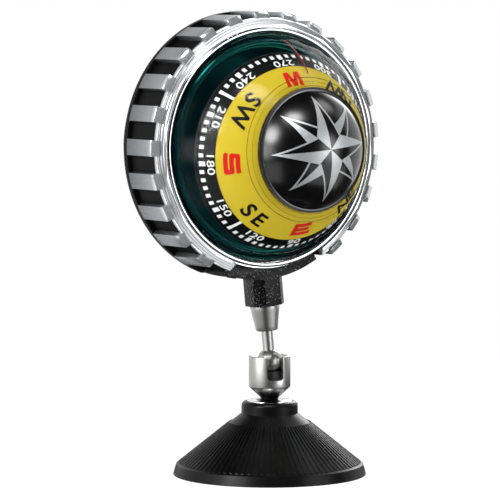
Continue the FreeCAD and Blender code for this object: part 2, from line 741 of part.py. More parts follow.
def bracket(doc, s):
    body = new_body(doc, "bracket")
    front = s.saddle_front
    lip_back = front + s.saddle_lip
    inner = s.housing_radius + s.crown_root_gap
    outside = s.crown_root_gap + s.saddle_rear_wall
    inner_ball = s.rear_ball_radius + s.crown_root_gap
    step = s.rear_rim_back
    rear = s.saddle_rear
    outline = (
        Outline(s.crown_bore, -front)
        .line(s.crown_bore, -lip_back)
        .line(inner, -lip_back)
        .line(inner, -step)
        .line(rear_ball(s, step, s.crown_root_gap), -step)
        .arc(rear_ball(s, rear, s.crown_root_gap), -rear, inner_ball, False)
        .line(rear_ball(s, rear, outside), -rear)
        .arc(rear_ball(s, step, outside), -step, s.rear_ball_radius + outside, True)
        .line(s.saddle_radius, -s.rear_rim_front)
        .line(s.saddle_radius, -front)
        .close()
    )
    turned(body, outline, angle=s.saddle_angle, turn=DOWN)
    half = s.boss_width / 2
    near = s.stem_setback - half
    far = s.stem_setback + half
    flat = half - s.boss_chamfer
    square = (
        Outline(-flat, -far)
        .line(flat, -far)
        .line(half, -far + s.boss_chamfer)
        .line(half, -near - s.boss_chamfer)
        .line(flat, -near)
        .line(-flat, -near)
        .line(-half, -near - s.boss_chamfer)
        .line(-half, -far + s.boss_chamfer)
        .close()
    )
    underside = s.stem_length - s.boss_bottom
    merge = s.saddle_radius - s.saddle_wall / 2
    padded(body, square, "XZ_Plane", underside - merge, lift=underside, reverse=True)
    bore = disc_outline(ZERO, -s.stem_setback, s.insert_radius)
    pocketed(body, bore, "XZ_Plane", s.insert_length, lift=underside)
    saddle_screw_holes(body, s)
    return body


def saddle_screw_place(s):
    return s.saddle_front + s.saddle_screw_depth


def saddle_screw_seat(s):
    """Radius of the face that carries a saddle screw's head."""
    return s.saddle_radius - s.saddle_screw_sink


def saddle_screw_outline(s):
    """Half section of a saddle screw; radius from the dial axis runs along it."""
    seat = saddle_screw_seat(s)
    tip = seat - s.saddle_screw_length
    return (
        Outline(tip, ZERO)
        .line(seat + s.screw_head_height, ZERO)
        .line(seat + s.screw_head_height, s.screw_head_radius)
        .line(seat, s.screw_head_radius)
        .line(seat, s.screw_radius)
        .line(tip, s.screw_radius)
        .close()
    )


def saddle_screw_holes(body, s):
    """The screws' own outline, run out at the head, cut at each side of the stem."""
    seat = saddle_screw_seat(s)
    tip = seat - s.saddle_screw_length
    outline = (
        Outline(tip, ZERO)
        .line(seat + s.overrun, ZERO)
        .line(seat + s.overrun, s.screw_head_radius)
        .line(seat, s.screw_head_radius)
        .line(seat, s.screw_radius)
        .line(tip, s.screw_radius)
        .close()
    )
    for turn in (DOWN - s.saddle_screw_angle, DOWN + s.saddle_screw_angle):
        turned(body, outline, turn=turn, cut=True, axis="H_Axis", shift_y=-saddle_screw_place(s))


def saddle_screws(doc, s):
    body = new_body(doc, "saddle_screws")
    for turn in (DOWN - s.saddle_screw_angle, DOWN + s.saddle_screw_angle):
        turned(body, saddle_screw_outline(s), turn=turn, axis="H_Axis", shift_y=-saddle_screw_place(s))
    return body


def saddle_notch(body, s, inner, outer, front, back):
    """Cuts a ring section away over the saddle and a small gap at each of its ends."""
    outline = tube_outline(inner, outer, -back, -front)
    turned(body, outline, angle=s.saddle_angle + s.saddle_gap * 2, turn=DOWN, cut=True)


def housing(doc, s):
    body = new_body(doc, "housing")
    outline = (
        Outline(s.housing_bore, -s.housing_front)
        .line(s.housing_bore, -s.housing_seat)
        .line(s.housing_inner_radius, -s.housing_seat)
        .line(s.housing_inner_radius, -s.housing_waist)
        .line(s.housing_rear_bore, -s.housing_back + s.housing_wall)
        .line(s.housing_opening, -s.housing_back + s.housing_wall)
        .line(s.housing_opening, -s.housing_back)
        .line(rear_ball(s, s.housing_back), -s.housing_back)
        .arc(rear_ball(s, s.rear_rim_back), -s.rear_rim_back, s.rear_ball_radius, True)
        .line(s.rear_rim_radius, -s.rear_rim_back)
        .line(s.rear_rim_radius, -s.rear_rim_front)
        .line(s.housing_radius, -s.rear_rim_front)
        .line(s.housing_radius, -s.housing_front)
        .close()
    )
    turned(body, outline)
    past = s.rear_rim_radius + s.overrun
    lip_back = s.saddle_front + s.saddle_lip
    saddle_notch(body, s, s.housing_bore, past, s.housing_front - s.overrun, lip_back)
    saddle_notch(body, s, s.housing_radius, past, s.rear_rim_front - s.overrun, s.rear_rim_back)
    saddle_screw_holes(body, s)
    place = s.cover_screw_place
    top = s.housing_back - s.housing_wall - s.overrun
    hole = tube_outline(ZERO, s.screw_radius, -s.housing_back - s.overrun, -top)
    holes = turned(body, hole, turn=s.cover_screw_angle, shift_x=place, cut=True)
    patterned(doc, body, [holes], s.cover_screw_count)
    return body


def crown_ring(doc, s):
    body = new_body(doc, "crown_ring")
    width = s.housing_radius - s.crown_bore
    outline = Outline(s.crown_bore, -s.housing_front)
    outline.line(s.housing_radius, -s.housing_front)
    level = s.crown_front - s.crown_step_depth * (len(CROWN_STEP_SHARES) - 1)
    for share in reversed(CROWN_STEP_SHARES):
        outline.line(s.crown_bore + width * share, level)
        position = CROWN_STEP_SHARES.index(share)
        inner_share = CROWN_STEP_SHARES[position - 1] if position else 0.0
        outline.line(s.crown_bore + width * inner_share, level)
        level = level + s.crown_step_depth
    turned(body, outline.close())
    past = s.crown_tip_radius + s.overrun
    saddle_notch(body, s, s.crown_bore - s.overrun, past, -s.overrun, s.housing_front + s.overrun)
    root = s.housing_radius + s.crown_root_gap
    back = s.rear_rim_front - s.finger_clearance
    nose = s.finger_nose_fall
    finger = (
        Outline(s.finger_inner_radius, ZERO)
        .line(s.finger_inner_radius, -s.housing_front)
        .line(root, -s.housing_front)
        .line(root, -back)
        .line(s.crown_tip_radius, -back)
        .line(s.crown_tip_radius, -nose - (s.crown_tip_radius - s.finger_nose_radius))
        .line(s.finger_nose_radius, -nose)
        .close()
    )
    fingers = turned(body, finger, angle=s.finger_angle, turn=DOWN + s.first_finger_angle)
    count = s.finger_count - s.fingers_left_out
    patterned(doc, body, [fingers], count, angle=(count - 1) * 360 / s.finger_count)
    return body


def bezel_ring(doc, s):
    body = new_body(doc, "bezel_ring")
    foot = -s.flange_front
    lift = s.bezel_bead_lift
    inner_foot = leg(s.dome_radius, s.dome_setback - s.flange_front) + s.dome_gap
    bead = roundness((s.bezel_outer_radius - s.bezel_inner_radius) / 2, s.bezel_bead_rise)
    outline = (
        Outline(inner_foot, foot)
        .line(s.crown_bore - s.bezel_clearance, foot)
        .line(s.crown_bore - s.bezel_clearance, foot + s.bezel_foot)
        .line(s.bezel_outer_radius, foot + s.bezel_foot)
        .line(s.bezel_outer_radius, lift)
        .arc(s.bezel_inner_radius, lift, bead, True)
        .close()
    )
    turned(body, outline)
    return body


def dome_height(s, radius):
    """Front of the dome over a radius, from the dial frame's origin."""
    return leg(s.dome_radius, radius) - s.dome_setback


def dome(doc, s):
    body = new_body(doc, "dome")
    back = s.flange_front + s.flange_thickness
    inner = s.dome_inner_radius
    seat = s.cap_rim_radius + s.cap_glue
    outline = (
        Outline(ZERO, s.dome_radius - s.dome_setback)
        .arc(seat, dome_height(s, seat), s.dome_radius, False)
        .line(seat, dome_height(s, seat) + s.step_seat_rise)
        .line(s.step_radius, dome_height(s, s.step_radius) + s.step_edge_rise)
        .line(s.step_radius, dome_height(s, s.step_radius))
        .arc(leg(s.dome_radius, s.dome_setback - s.flange_front), -s.flange_front, s.dome_radius, False)
        .line(s.flange_radius, -s.flange_front)
        .line(s.flange_radius, -back)
        .line(leg(inner, s.dome_setback - back), -back)
        .arc(ZERO, inner - s.dome_setback, inner, True)
        .close()
    )
    turned(body, outline)
    return body


def star_cap(doc, s):
    body = new_body(doc, "star_cap")
    foot = dome_height(s, s.cap_radius) + s.cap_rise
    centre = foot - leg(s.cap_curve_radius, s.cap_radius)
    seat = s.dome_radius + s.cap_glue
    inner_curve = s.cap_curve_radius - s.cap_wall
    # the hollow's sphere meets the dome's where both are as far from the dome's centre
    between = centre + s.dome_setback
    meet = (seat * seat - inner_curve * inner_curve + between * between) / (between * 2)
    inner_foot = leg(seat, meet)
    outline = (
        Outline(ZERO, centre + s.cap_curve_radius)
        .line(ZERO, centre + inner_curve)
        .arc(inner_foot, meet - s.dome_setback, inner_curve, False)
        .arc(s.cap_rim_radius, leg(seat, s.cap_rim_radius) - s.dome_setback, seat, False)
        .line(s.cap_rim_radius, dome_height(s, s.cap_rim_radius) + s.cap_rim_rise)
        .line(s.cap_radius, foot)
        .close_arc(s.cap_curve_radius, True)
    )
    turned(body, outline)
    return body


def cap_trim(doc, s):
    """A bright bead in the corner between the bulge and its rim."""
    body = new_body(doc, "cap_trim")
    foot = dome_height(s, s.cap_radius) + s.cap_rise
    rim = dome_height(s, s.cap_rim_radius) + s.cap_rim_rise
    slope = (foot - rim) / (s.cap_rim_radius - s.cap_radius)
    outer = s.cap_radius + s.trim_width
    outline = (
        Outline(s.cap_radius, foot)
        .line(outer, foot - slope * s.trim_width)
        .line(outer, foot - slope * s.trim_width + s.trim_rise)
        .line(s.cap_radius, foot + s.trim_rise)
        .close()
    )
    turned(body, outline)
    return body


def dome_seal(doc, s):
    body = new_body(doc, "dome_seal")
    top = s.flange_front + s.flange_thickness
    turned(body, tube_outline(s.seal_inner_radius, s.flange_radius, -top - s.seal_thickness, -top))
    return body


def bowl(doc, s):
    body = new_body(doc, "bowl")
    back = s.bowl_back
    outline = (
        Outline(s.bowl_inner_radius, -s.bowl_top)
        .line(s.bowl_inner_radius, -s.bowl_bend)
        .line(s.bowl_floor_radius, -s.bowl_floor)
        .line(ZERO, -s.bowl_floor)
        .line(ZERO, -back)
        .line(s.bowl_floor_radius + s.bowl_wall, -back)
        .line(s.bowl_outer_radius, -s.bowl_bend)
        .line(s.bowl_outer_radius, -s.housing_seat)
        .line(s.bowl_rim_radius, -s.housing_seat)
        .line(s.bowl_rim_radius, -s.bowl_top)
        .close()
    )
    turned(body, outline)
    plug_hole = tube_outline(ZERO, s.plug_radius, -back - s.overrun, -s.bowl_floor + s.overrun)
    turned(body, plug_hole, turn=DOWN, shift_x=s.plug_place, cut=True)
    vent = tube_outline(ZERO, s.vent_radius, -back - s.overrun, -s.bowl_floor + s.overrun)
    vents = turned(body, vent, turn=DOWN, shift_x=s.vent_place, cut=True)
    patterned(doc, body, [vents], s.vent_count)
    return body


def fill_plug(doc, s):
    body = new_body(doc, "fill_plug")
    back = s.bowl_back
    outline = (
        Outline(ZERO, -s.bowl_floor)
        .line(ZERO, -back - s.plug_head_height)
        .line(s.plug_head_radius, -back - s.plug_head_height)
        .line(s.plug_head_radius, -back)
        .line(s.plug_radius, -back)
        .line(s.plug_radius, -s.bowl_floor)
        .close()
    )
    turned(body, outline, turn=DOWN, shift_x=s.plug_place)
    return body


def diaphragm(doc, s):
    body = new_body(doc, "diaphragm")
    seat = -s.bowl_back
    dish = s.diaphragm_radius - s.diaphragm_edge
    low = seat - s.diaphragm_dish
    thick = s.diaphragm_thickness
    outline = (
        Outline(ZERO, low)
        .line(ZERO, low - thick)
        .line(dish - s.diaphragm_dish + thick / 2, low - thick)
        .line(dish + thick / 2, seat - thick)
        .line(s.diaphragm_radius, seat - thick)
        .line(s.diaphragm_radius, seat)
        .line(dish, seat)
        .line(dish - s.diaphragm_dish, low)
        .close()
    )
    turned(body, outline)
    return body


def clamp_ring(doc, s):
    body = new_body(doc, "clamp_ring")
    top = -s.bowl_back - s.diaphragm_thickness
    inner = s.diaphragm_radius - s.diaphragm_edge + s.diaphragm_thickness / 2 + s.clamp_clearance
    turned(body, tube_outline(inner, s.diaphragm_radius, top - s.clamp_thickness, top))
    return body


def rear_cover(doc, s):
    body = new_body(doc, "rear_cover")
    face = -s.housing_back
    back = face - s.cover_thickness
    spigot = s.housing_opening - s.cover_clearance
    bulge = s.cover_bulge_radius
    curve = roundness(bulge, s.cover_bulge)
    pole = curve - s.cover_bulge - leg(curve, s.breather_radius)
    outline = (
        Outline(s.breather_radius, face + pole)
        .arc(bulge, face, curve, True)
        .line(bulge, face + s.cover_spigot)
        .line(spigot, face + s.cover_spigot)
        .line(spigot, face)
        .line(s.cover_radius, face)
        .line(s.cover_radius, back)
        .line(bulge, back)
        .arc(s.breather_radius, back + pole, curve, False)
        .close()
    )
    turned(body, outline)
    hole = tube_outline(ZERO, s.screw_radius, back - s.overrun, face + s.overrun)
    holes = turned(body, hole, turn=s.cover_screw_angle, shift_x=s.cover_screw_place, cut=True)
    patterned(doc, body, [holes], s.cover_screw_count)
    return body


def cover_screws(doc, s):
    body = new_body(doc, "cover_screws")
    seat = -s.housing_back - s.cover_thickness
    outline = (
        Outline(ZERO, seat - s.screw_head_height)
        .line(s.screw_head_radius, seat - s.screw_head_height)
        .line(s.screw_head_radius, seat)
        .line(s.screw_radius, seat)
        .line(s.screw_radius, seat + s.cover_screw_length)
        .line(ZERO, seat + s.cover_screw_length)
        .close()
    )
    screw = turned(body, outline, turn=s.cover_screw_angle, shift_x=s.cover_screw_place)
    patterned(doc, body, [screw], s.cover_screw_count)
    return body


def lubber_line(doc, s):
    """A thin red line laid on the inside of the dome."""
    body = new_body(doc, "lubber_line")
    outer = s.dome_inner_radius
    inner = outer - s.lubber_thickness
    foot = s.lubber_foot_radius
    tip = s.lubber_tip_radius
    outline = (
        Outline(foot, leg(outer, foot) - s.dome_setback)
        .arc(tip, leg(outer, tip) - s.dome_setback, outer, True)
        .line(tip, leg(inner, tip) - s.dome_setback)
        .arc(foot, leg(inner, foot) - s.dome_setback, inner, False)
        .close()
    )
    turned(body, outline, angle=s.lubber_width_angle, turn=s.lubber_angle)
    return body


def pivot_post(doc, s):
    body = new_body(doc, "pivot_post")
    foot = -s.bowl_floor
    outline = (
        Outline(ZERO, foot)
        .line(s.post_foot_radius, foot)
        .line(s.post_foot_radius, foot + s.post_foot_height)
        .line(s.post_radius, foot + s.post_foot_height + (s.post_foot_radius - s.post_radius))
        .line(s.post_radius, -s.post_top)
        .line(s.pin_radius, -s.post_top)
        .line(s.pin_radius, -s.post_top - s.pin_sink)
        .line(ZERO, -s.post_top - s.pin_sink)
        .close()
    )
    turned(body, outline)
    return body


def pivot_pin(doc, s):
    body = new_body(doc, "pivot_pin")
    tip = -s.dome_setback - s.pivot_gap
    outline = (
        Outline(ZERO, -s.post_top - s.pin_sink)
        .line(s.pin_radius, -s.post_top - s.pin_sink)
        .line(s.pin_radius, tip - s.pin_point)
        .line(ZERO, tip)
        .close()
    )
    turned(body, outline)
    return body


# Floating card; its frame is the dial frame moved to the dome's centre and tilted with the card


def card_rim_height(s):
    return leg(s.card_radius - s.band_step, s.card_edge_radius)


def card(doc, s):
    body = new_body(doc, "card")
    band = s.card_radius - s.band_step
    inner = s.card_radius - s.card_wall
    step_radius = s.band_edge_radius * band / s.card_radius
    outline = (
        Outline(ZERO, s.card_radius)
        .arc(s.band_edge_radius, leg(s.card_radius, s.band_edge_radius), s.card_radius, False)
        .line(step_radius, leg(band, step_radius))
        .arc(s.card_edge_radius, card_rim_height(s), band, False)
        .line(leg(inner, card_rim_height(s)), card_rim_height(s))
        .arc(ZERO, inner, inner, True)
        .close()
    )
    turned(body, outline)
    return body


def card_plate(doc, s):
    body = new_body(doc, "card_plate")
    top = card_rim_height(s)
    bottom = top - s.plate_thickness
    outline = (
        Outline(ZERO, top)
        .line(s.card_edge_radius, top)
        .line(s.card_edge_radius, bottom)
        .line(s.hub_radius, bottom)
        .line(s.hub_radius, -s.hub_drop)
        .line(s.jewel_radius, -s.hub_drop)
        .line(s.jewel_radius, s.jewel_height)
        .line(ZERO, s.jewel_height)
        .close()
    )
    turned(body, outline)
    return body


def jewel_cup(doc, s):
    body = new_body(doc, "jewel_cup")
    outline = (
        Outline(ZERO, ZERO)
        .line(s.jewel_cone_radius, -s.hub_drop)
        .line(s.jewel_radius, -s.hub_drop)
        .line(s.jewel_radius, s.jewel_height)
        .line(ZERO, s.jewel_height)
        .close()
    )
    turned(body, outline)
    return body


def card_magnets(doc, s):
    body = new_body(doc, "card_magnets")
    top = card_rim_height(s) - s.plate_thickness
    half = s.magnet_width / 2
    for side in (-1, 1):
        place = s.magnet_place * side
        outline = box_outline(place - half, top - s.magnet_height, place + half, top)
        padded(body, outline, "YZ_Plane", s.magnet_length, both=True)
    return body


CUP_FRAME = (suction_cup, cup_anchor, flange_disc, ball_socket, friction_pad)
STEM_FRAME = (ball_stud, taper_nut, thread_insert)
DIAL_FRAME = (
    bracket,
    saddle_screws,
    housing,
    crown_ring,
    bezel_ring,
    dome,
    star_cap,
    cap_trim,
    dome_seal,
    bowl,
    fill_plug,
    diaphragm,
    clamp_ring,
    rear_cover,
    cover_screws,
    lubber_line,
    pivot_post,
    pivot_pin,
)
CARD_FRAME = (card, card_plate, jewel_cup, card_magnets)


def rotation(x, y, z, degrees):
    return FreeCAD.Rotation(FreeCAD.Vector(x, y, z), degrees)


def stem_placement(s):
    """The stem frame: at the ball, leaning back and to the left."""
    lean = rotation(1, 0, 0, -s.head_pitch.value)
    front = lean.multVec(FreeCAD.Vector(0, -1, 0))
    roll = FreeCAD.Rotation(front, s.head_roll.value)
    return FreeCAD.Placement(FreeCAD.Vector(0, 0, s.ball_height.value), roll * lean)


def dial_placement(s):
    place = FreeCAD.Vector(0, -s.stem_setback.value, s.stem_length.value)
    return stem_placement(s) * FreeCAD.Placement(place, rotation(1, 0, 0, 90))


def card_placement(s):
    tilt = rotation(0, 1, 0, s.card_yaw.value) * rotation(1, 0, 0, -s.card_pitch.value)
    return dial_placement(s) * FreeCAD.Placement(FreeCAD.Vector(0, 0, -s.dome_setback.value), tilt)


def build(doc, s):
    """Every sub-part in its own body, put into its frame."""
    groups = (
        (CUP_FRAME, FreeCAD.Placement()),
        (STEM_FRAME, stem_placement(s)),
        (DIAL_FRAME, dial_placement(s)),
        (CARD_FRAME, card_placement(s)),
    )
    bodies = []
    for makers, placement in groups:
        for make in makers:
            body = make(doc, s)
            body.Placement = placement
            bodies.append(body)
    return bodies


def check(doc, bodies):
    """Stop if any object failed or any sub-part has no sound solid."""
    for item in doc.Objects:
        if "Invalid" in item.State or "Error" in item.State:
            raise RuntimeError(f"{item.Name} failed: {item.State}")
    for body in bodies:
        shape = body.Shape
        if shape.isNull() or not shape.isValid() or not shape.Solids:
            raise RuntimeError(f"{body.Label} has no valid solid")


document = FreeCAD.newDocument("dashboard_compass")
sizes = make_sheet(document)
pieces = build(document, sizes)
document.recompute()
check(document, pieces)
os.makedirs("parts", exist_ok=True)
for piece in pieces:
    piece.Shape.exportStep(os.path.join("parts", f"{piece.Label}.step"))
    print(f"{piece.Label}: {len(piece.Shape.Solids)} solid(s), {piece.Shape.Volume:.0f} mm3")
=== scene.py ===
import json
import math

import bmesh
import bpy
from mathutils import Matrix, Vector


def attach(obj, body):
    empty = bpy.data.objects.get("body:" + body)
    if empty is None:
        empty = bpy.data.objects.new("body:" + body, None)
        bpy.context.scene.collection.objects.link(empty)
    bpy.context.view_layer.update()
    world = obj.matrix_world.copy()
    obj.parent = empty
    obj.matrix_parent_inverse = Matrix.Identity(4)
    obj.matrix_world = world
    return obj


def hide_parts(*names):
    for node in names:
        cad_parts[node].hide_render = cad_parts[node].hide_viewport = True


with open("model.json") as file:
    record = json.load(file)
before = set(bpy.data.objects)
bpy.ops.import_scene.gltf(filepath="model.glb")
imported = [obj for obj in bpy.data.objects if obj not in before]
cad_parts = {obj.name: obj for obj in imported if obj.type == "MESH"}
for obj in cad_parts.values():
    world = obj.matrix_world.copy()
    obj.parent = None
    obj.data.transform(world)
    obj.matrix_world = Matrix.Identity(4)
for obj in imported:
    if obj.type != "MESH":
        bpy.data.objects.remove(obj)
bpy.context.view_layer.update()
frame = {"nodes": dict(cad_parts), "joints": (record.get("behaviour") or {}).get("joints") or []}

# Dashboard compass: a liquid filled head with a floating card, on a ball stud and a suction
# cup. Sizes are millimetres until a mesh is placed, metres after, and angles are degrees until
# they are used. Three frames serve the pieces:
# - dial: from the middle of the bezel's seat, +Z out through the dome, +Y away from the stem
# - card: from the dome's centre, +Z along the card's own axis, +X at north
# - stem: from the ball's centre, +Z along the stem to the head

MM = 0.001

# head, as the solids have it: spheres by their radius, edges by their distance from the axis
DOME_SETBACK = 7.5
DOME_RADIUS = 35.25
CARD_RADIUS = 33.4
BAND_RADIUS = 33.2
BAND_EDGE = 25.9
CAP_FOOT = 17.55
CAP_CURVE = 19.7
CAP_FOOT_RISE = 0.55

# copies of the solids: how near points merge, in metres, below which angle faces join, and
# above which angle edges are eased and stay sharp
SAME_POINT = 1e-6
FLAT_ANGLE = 0.05
SHARP_ANGLE = 30

# turned pieces
TURNED_SIDES = 180
TURNED_SHARP_ANGLE = 60

# flat print before it is wrapped: how near points merge, the longest edges that letters and
# shapes of straight strokes may have, and how often they are cut to get there
SAME_PRINT_POINT = 1e-4
LETTER_EDGE = 0.7
SHAPE_EDGE = 0.8
MOST_CUTS = 5

# print on the card: places are distances from its axis. A capital is 0.7 of the font's size.
PRINT_THICKNESS = 0.09
CAPITAL_SHARE = 0.7
MARK_OUTER = 28.95
MARK_LENGTH = 1.55
MARK_WIDTH = 1.15
BLOCK_LENGTH = 2.15
BLOCK_WIDTH = 1.45
LINE_WIDTH = 0.95
MARK_STEP = 5
NUMBER_STEP = 30
DIGIT_PLACE = 26.85
DIGIT_HEIGHT = 2.4
DIGIT_WEIGHT = 0.04
DIGIT_SPACING = 1.05
DIGIT_WIDENING = 1.28
POINT_PLACE = 22.6
POINT_HEIGHT = 5.2
POINT_WIDTH = 6.2
POINT_STROKE = 1.42
BETWEEN_PLACE = 22.8
BETWEEN_HEIGHT = 4.9
BETWEEN_WEIGHT = 0.17
BETWEEN_WIDENING = 1.05
BETWEEN_LETTERS = (
    ("N", 38.5),
    ("W", 51.5),
    ("S", 127.9),
    ("W", 142.8),
    ("S", 219.4),
    ("E", 231.4),
    ("N", 311.0),
    ("E", 321.5),
)

# star on the cap: so many points in front, and as many between them behind
STAR_TIP = 15.6
STAR_WAIST = 5.6
STAR_LINE = 0.5
STAR_SHIFT = (-0.6, 0.6)
STAR_POINTS = 4
VALLEY_ANGLE = 22.5
INLAY_THICKNESS = 0.08

# bowl's lip: its foot, and its curves, each as the radius and height of its centre, its own
# radius, and the angles where it starts and ends
LIP_FOOT = (33.15, -5.0)
LIP_STEPS = 8
LIP_CURVES = ((30.6, -2.4, 2.6, 5, 72), (31.2, -0.3, 0.4, 110, 180), (30.2, -2.2, 0.5, 60, 180))

# corners of the clear step round the cap: radius, rise over the dome, and half their width
CORNER_SIDES = 8
STEP_CORNERS = ((21.4, 0.3, 0.11), (20.2, 0.56, 0.05), (18.95, 0.76, 0.08))

# view of the photograph
VIEW_AZIMUTH = -32.8
VIEW_ELEVATION = 5.26
VIEW_LENS = 288
VIEW_SENSOR = 36
VIEW_DISTANCE = 1219.7
VIEW_RIGHT = -5.96
VIEW_UP = 68.08

# studio, in metres, degrees and watts; every turn starts at the camera's azimuth
AMBIENT = 0.42
FLOOR_RADIUS = 0.3
DISC_SIDES = 96
FLOOR_GLOW = 0.85
FLOOR_WHITE = 0.93

# felt: upright cards that stand side by side before the object, one level card above it, and
# parts of rings on the floor, each as its inner and outer radius and its first and last angle.
# The floor between those parts stays white, and the metal pieces mirror it as light bands.
FELT_TOP = 1.1
FELT_FOOT = -1.0
FELT_REACH = 1.3
FELT_ANGLE = 30
FELT_PLACES = range(-2, 4)
FELT_LIFT = 0.0004
FELT_STEPS = 48
FELT_BELOW = ((0.0305, 0.1, -180, 180), (0.1, 0.3, -22, 22), (0.1, 0.3, 95, 200))

# softboxes: name, turn, elevation, width, height and power. Each is SOFT_PEAK times as bright
# in its middle as even light, and fades over the outer SOFT_RIM of its radius.
LIGHTS_LOOK_AT = Vector((0, 0, 0.09))
LIGHT_DISTANCE = 0.8
SOFT_RIM = 0.7
SOFT_PEAK = 2.2
SOFTBOXES = (
    ("key_softbox", -46, 25, 0.46, 0.54, 5.2),
    ("left_softbox", -58, -1, 0.85, 0.45, 2.4),
    ("top_softbox", -6, 58, 0.5, 0.34, 4.0),
    ("dial_softbox", 60, 2, 0.6, 0.8, 2.8),
    ("shoulder_softbox", 110, 55, 0.4, 0.4, 0.8),
    ("rear_softbox", 165, 22, 0.5, 0.6, 2.6),
)

# small worked parts, of metal or of plastic: two tones, metallic, roughness and grain in mm
WORKED = {
    "black_oxide_steel": ("#161617", "#242426", 1.0, 0.35, 0.4),  # near black, dull sheen
    "black_acetal": ("#101012", "#18181a", 0.0, 0.45, 0.6),  # black and waxy
    "zinc_plated_steel": ("#aeb0b3", "#c4c6c8", 1.0, 0.32, 0.8),  # cold light grey
    "turned_brass": ("#a98a45", "#c2a35c", 1.0, 0.3, 0.4),  # warm yellow
    # the cap's trim: chromium drawn darker than the bezel's, painted shade for its dark look
    "chromium_painted_shade": ("#68696b", "#7c7d7f", 1.0, 0.2, 0.5),  # dark mirror
    "nitrile_rubber": ("#101011", "#19191a", 0.0, 0.58, 0.5),  # dull black
    "nitrile_sheet": ("#161617", "#202021", 0.0, 0.6, 0.5),  # dull dark grey
    "stamped_steel": ("#9c9ea0", "#b0b2b4", 1.0, 0.35, 0.6),  # grey, soft sheen
    "hardened_steel": ("#bcbec0", "#d0d2d4", 1.0, 0.2, 0.3),  # bright, ground
    "black_styrene": ("#0f0f10", "#18181a", 0.0, 0.45, 0.5),  # black, half matt
    "synthetic_ruby": ("#7a0f28", "#981636", 0.0, 0.12, 0.5),  # deep red, polished
    "nickel_plated_magnet": ("#a8a8a6", "#bcbcba", 1.0, 0.3, 0.5),  # warm grey
}


def unit(vector):
    return Vector(vector).normalized()


def joint(name):
    return next(item for item in frame["joints"] if item["name"] == name)


def frame_matrix(x_axis, y_axis, z_axis, origin):
    """A frame's axes and origin as one matrix."""
    turn = Matrix((x_axis, y_axis, z_axis)).transposed()
    return Matrix.Translation(origin) @ turn.to_4x4()


def dial_frame():
    """The dial axis looks along -Y and lies square to the stem."""
    stem = unit(joint("head_turn")["axis"])
    front = unit((0, -stem.z, stem.y))
    centre = Vector(joint("card_spin")["pos_m"])
    origin = centre + front * DOME_SETBACK * MM
    return frame_matrix(stem.cross(front), stem, front, origin)


def card_frame():
    """The card's own axis, turned so that it looks out of the dome."""
    stem = unit(joint("head_turn")["axis"])
    axis = -unit(joint("card_spin")["axis"])
    if axis.dot(dial_frame().col[2].xyz) < 0:
        axis = -axis
    across = unit(stem.cross(axis))
    return frame_matrix(across, axis.cross(across), axis, Vector(joint("card_spin")["pos_m"]))


DIAL = dial_frame()
CARD = card_frame()
BALL = Vector(joint("ball_tilt")["pos_m"])
STEM = frame_matrix(DIAL.col[0].xyz, -DIAL.col[2].xyz, DIAL.col[1].xyz, BALL)


# Colours and materials


def linear(code):
    """An sRGB hex colour as linear red, green, blue and 1."""
    values = []
    for start in (1, 3, 5):
        c = int(code[start : start + 2], 16) / 255
        values.append(c / 12.92 if c <= 0.04045 else ((c + 0.055) / 1.055) ** 2.4)
    return values + [1.0]


def add(tree, kind, inputs=None, **settings):
    """Adds a node with its settings. An input takes a value, or a socket to link to it."""
    node = tree.nodes.new(kind)
    for key, value in settings.items():
        setattr(node, key, value)
    for key, value in (inputs or {}).items():
        if isinstance(value, bpy.types.NodeSocket):
            tree.links.new(value, node.inputs[key])
        else:
            node.inputs[key].default_value = value
    return node.outputs


def material(name):
    made = bpy.data.materials.new(name)
    made.use_nodes = True
    made.node_tree.nodes.clear()
    return made, made.node_tree


def patterned(name, matrix=None):
    """A material, and Object coordinates turned into one of the frames, in millimetres."""
    made, tree = material(name)
    inverse = (matrix or Matrix.Identity(4)).inverted()
    to_frame = {
        "Vector": add(tree, "ShaderNodeTexCoord")["Object"],
        "Location": inverse.translation / MM,
        "Rotation": inverse.to_euler("XYZ"),
        "Scale": (1 / MM,) * 3,
    }
    return made, tree, add(tree, "ShaderNodeMapping", to_frame)[0]


# Noise seldom leaves this range, so a Map Range node takes it from here. The acrylics share one
# IOR, and so do the card and its inks.
NOISE_SPAN = {1: 0.3, 2: 0.7}
ACRYLIC_IOR = 1.49
INK_IOR = 1.5


# Moulded natural rubber: black and softly shining. Its sharp edges are painted grey: a painted
# highlight where they catch the light. The grain of the mould is drawn at half a millimetre,
# coarser than it is, because a finer one doesn't show.
RUBBER_BLOOM = 9.0
RUBBER_GRAIN = 0.5
EDGE_HIGHLIGHT_SPAN = {1: 0.57, 2: 0.66, 3: 0.0, 4: 0.45}


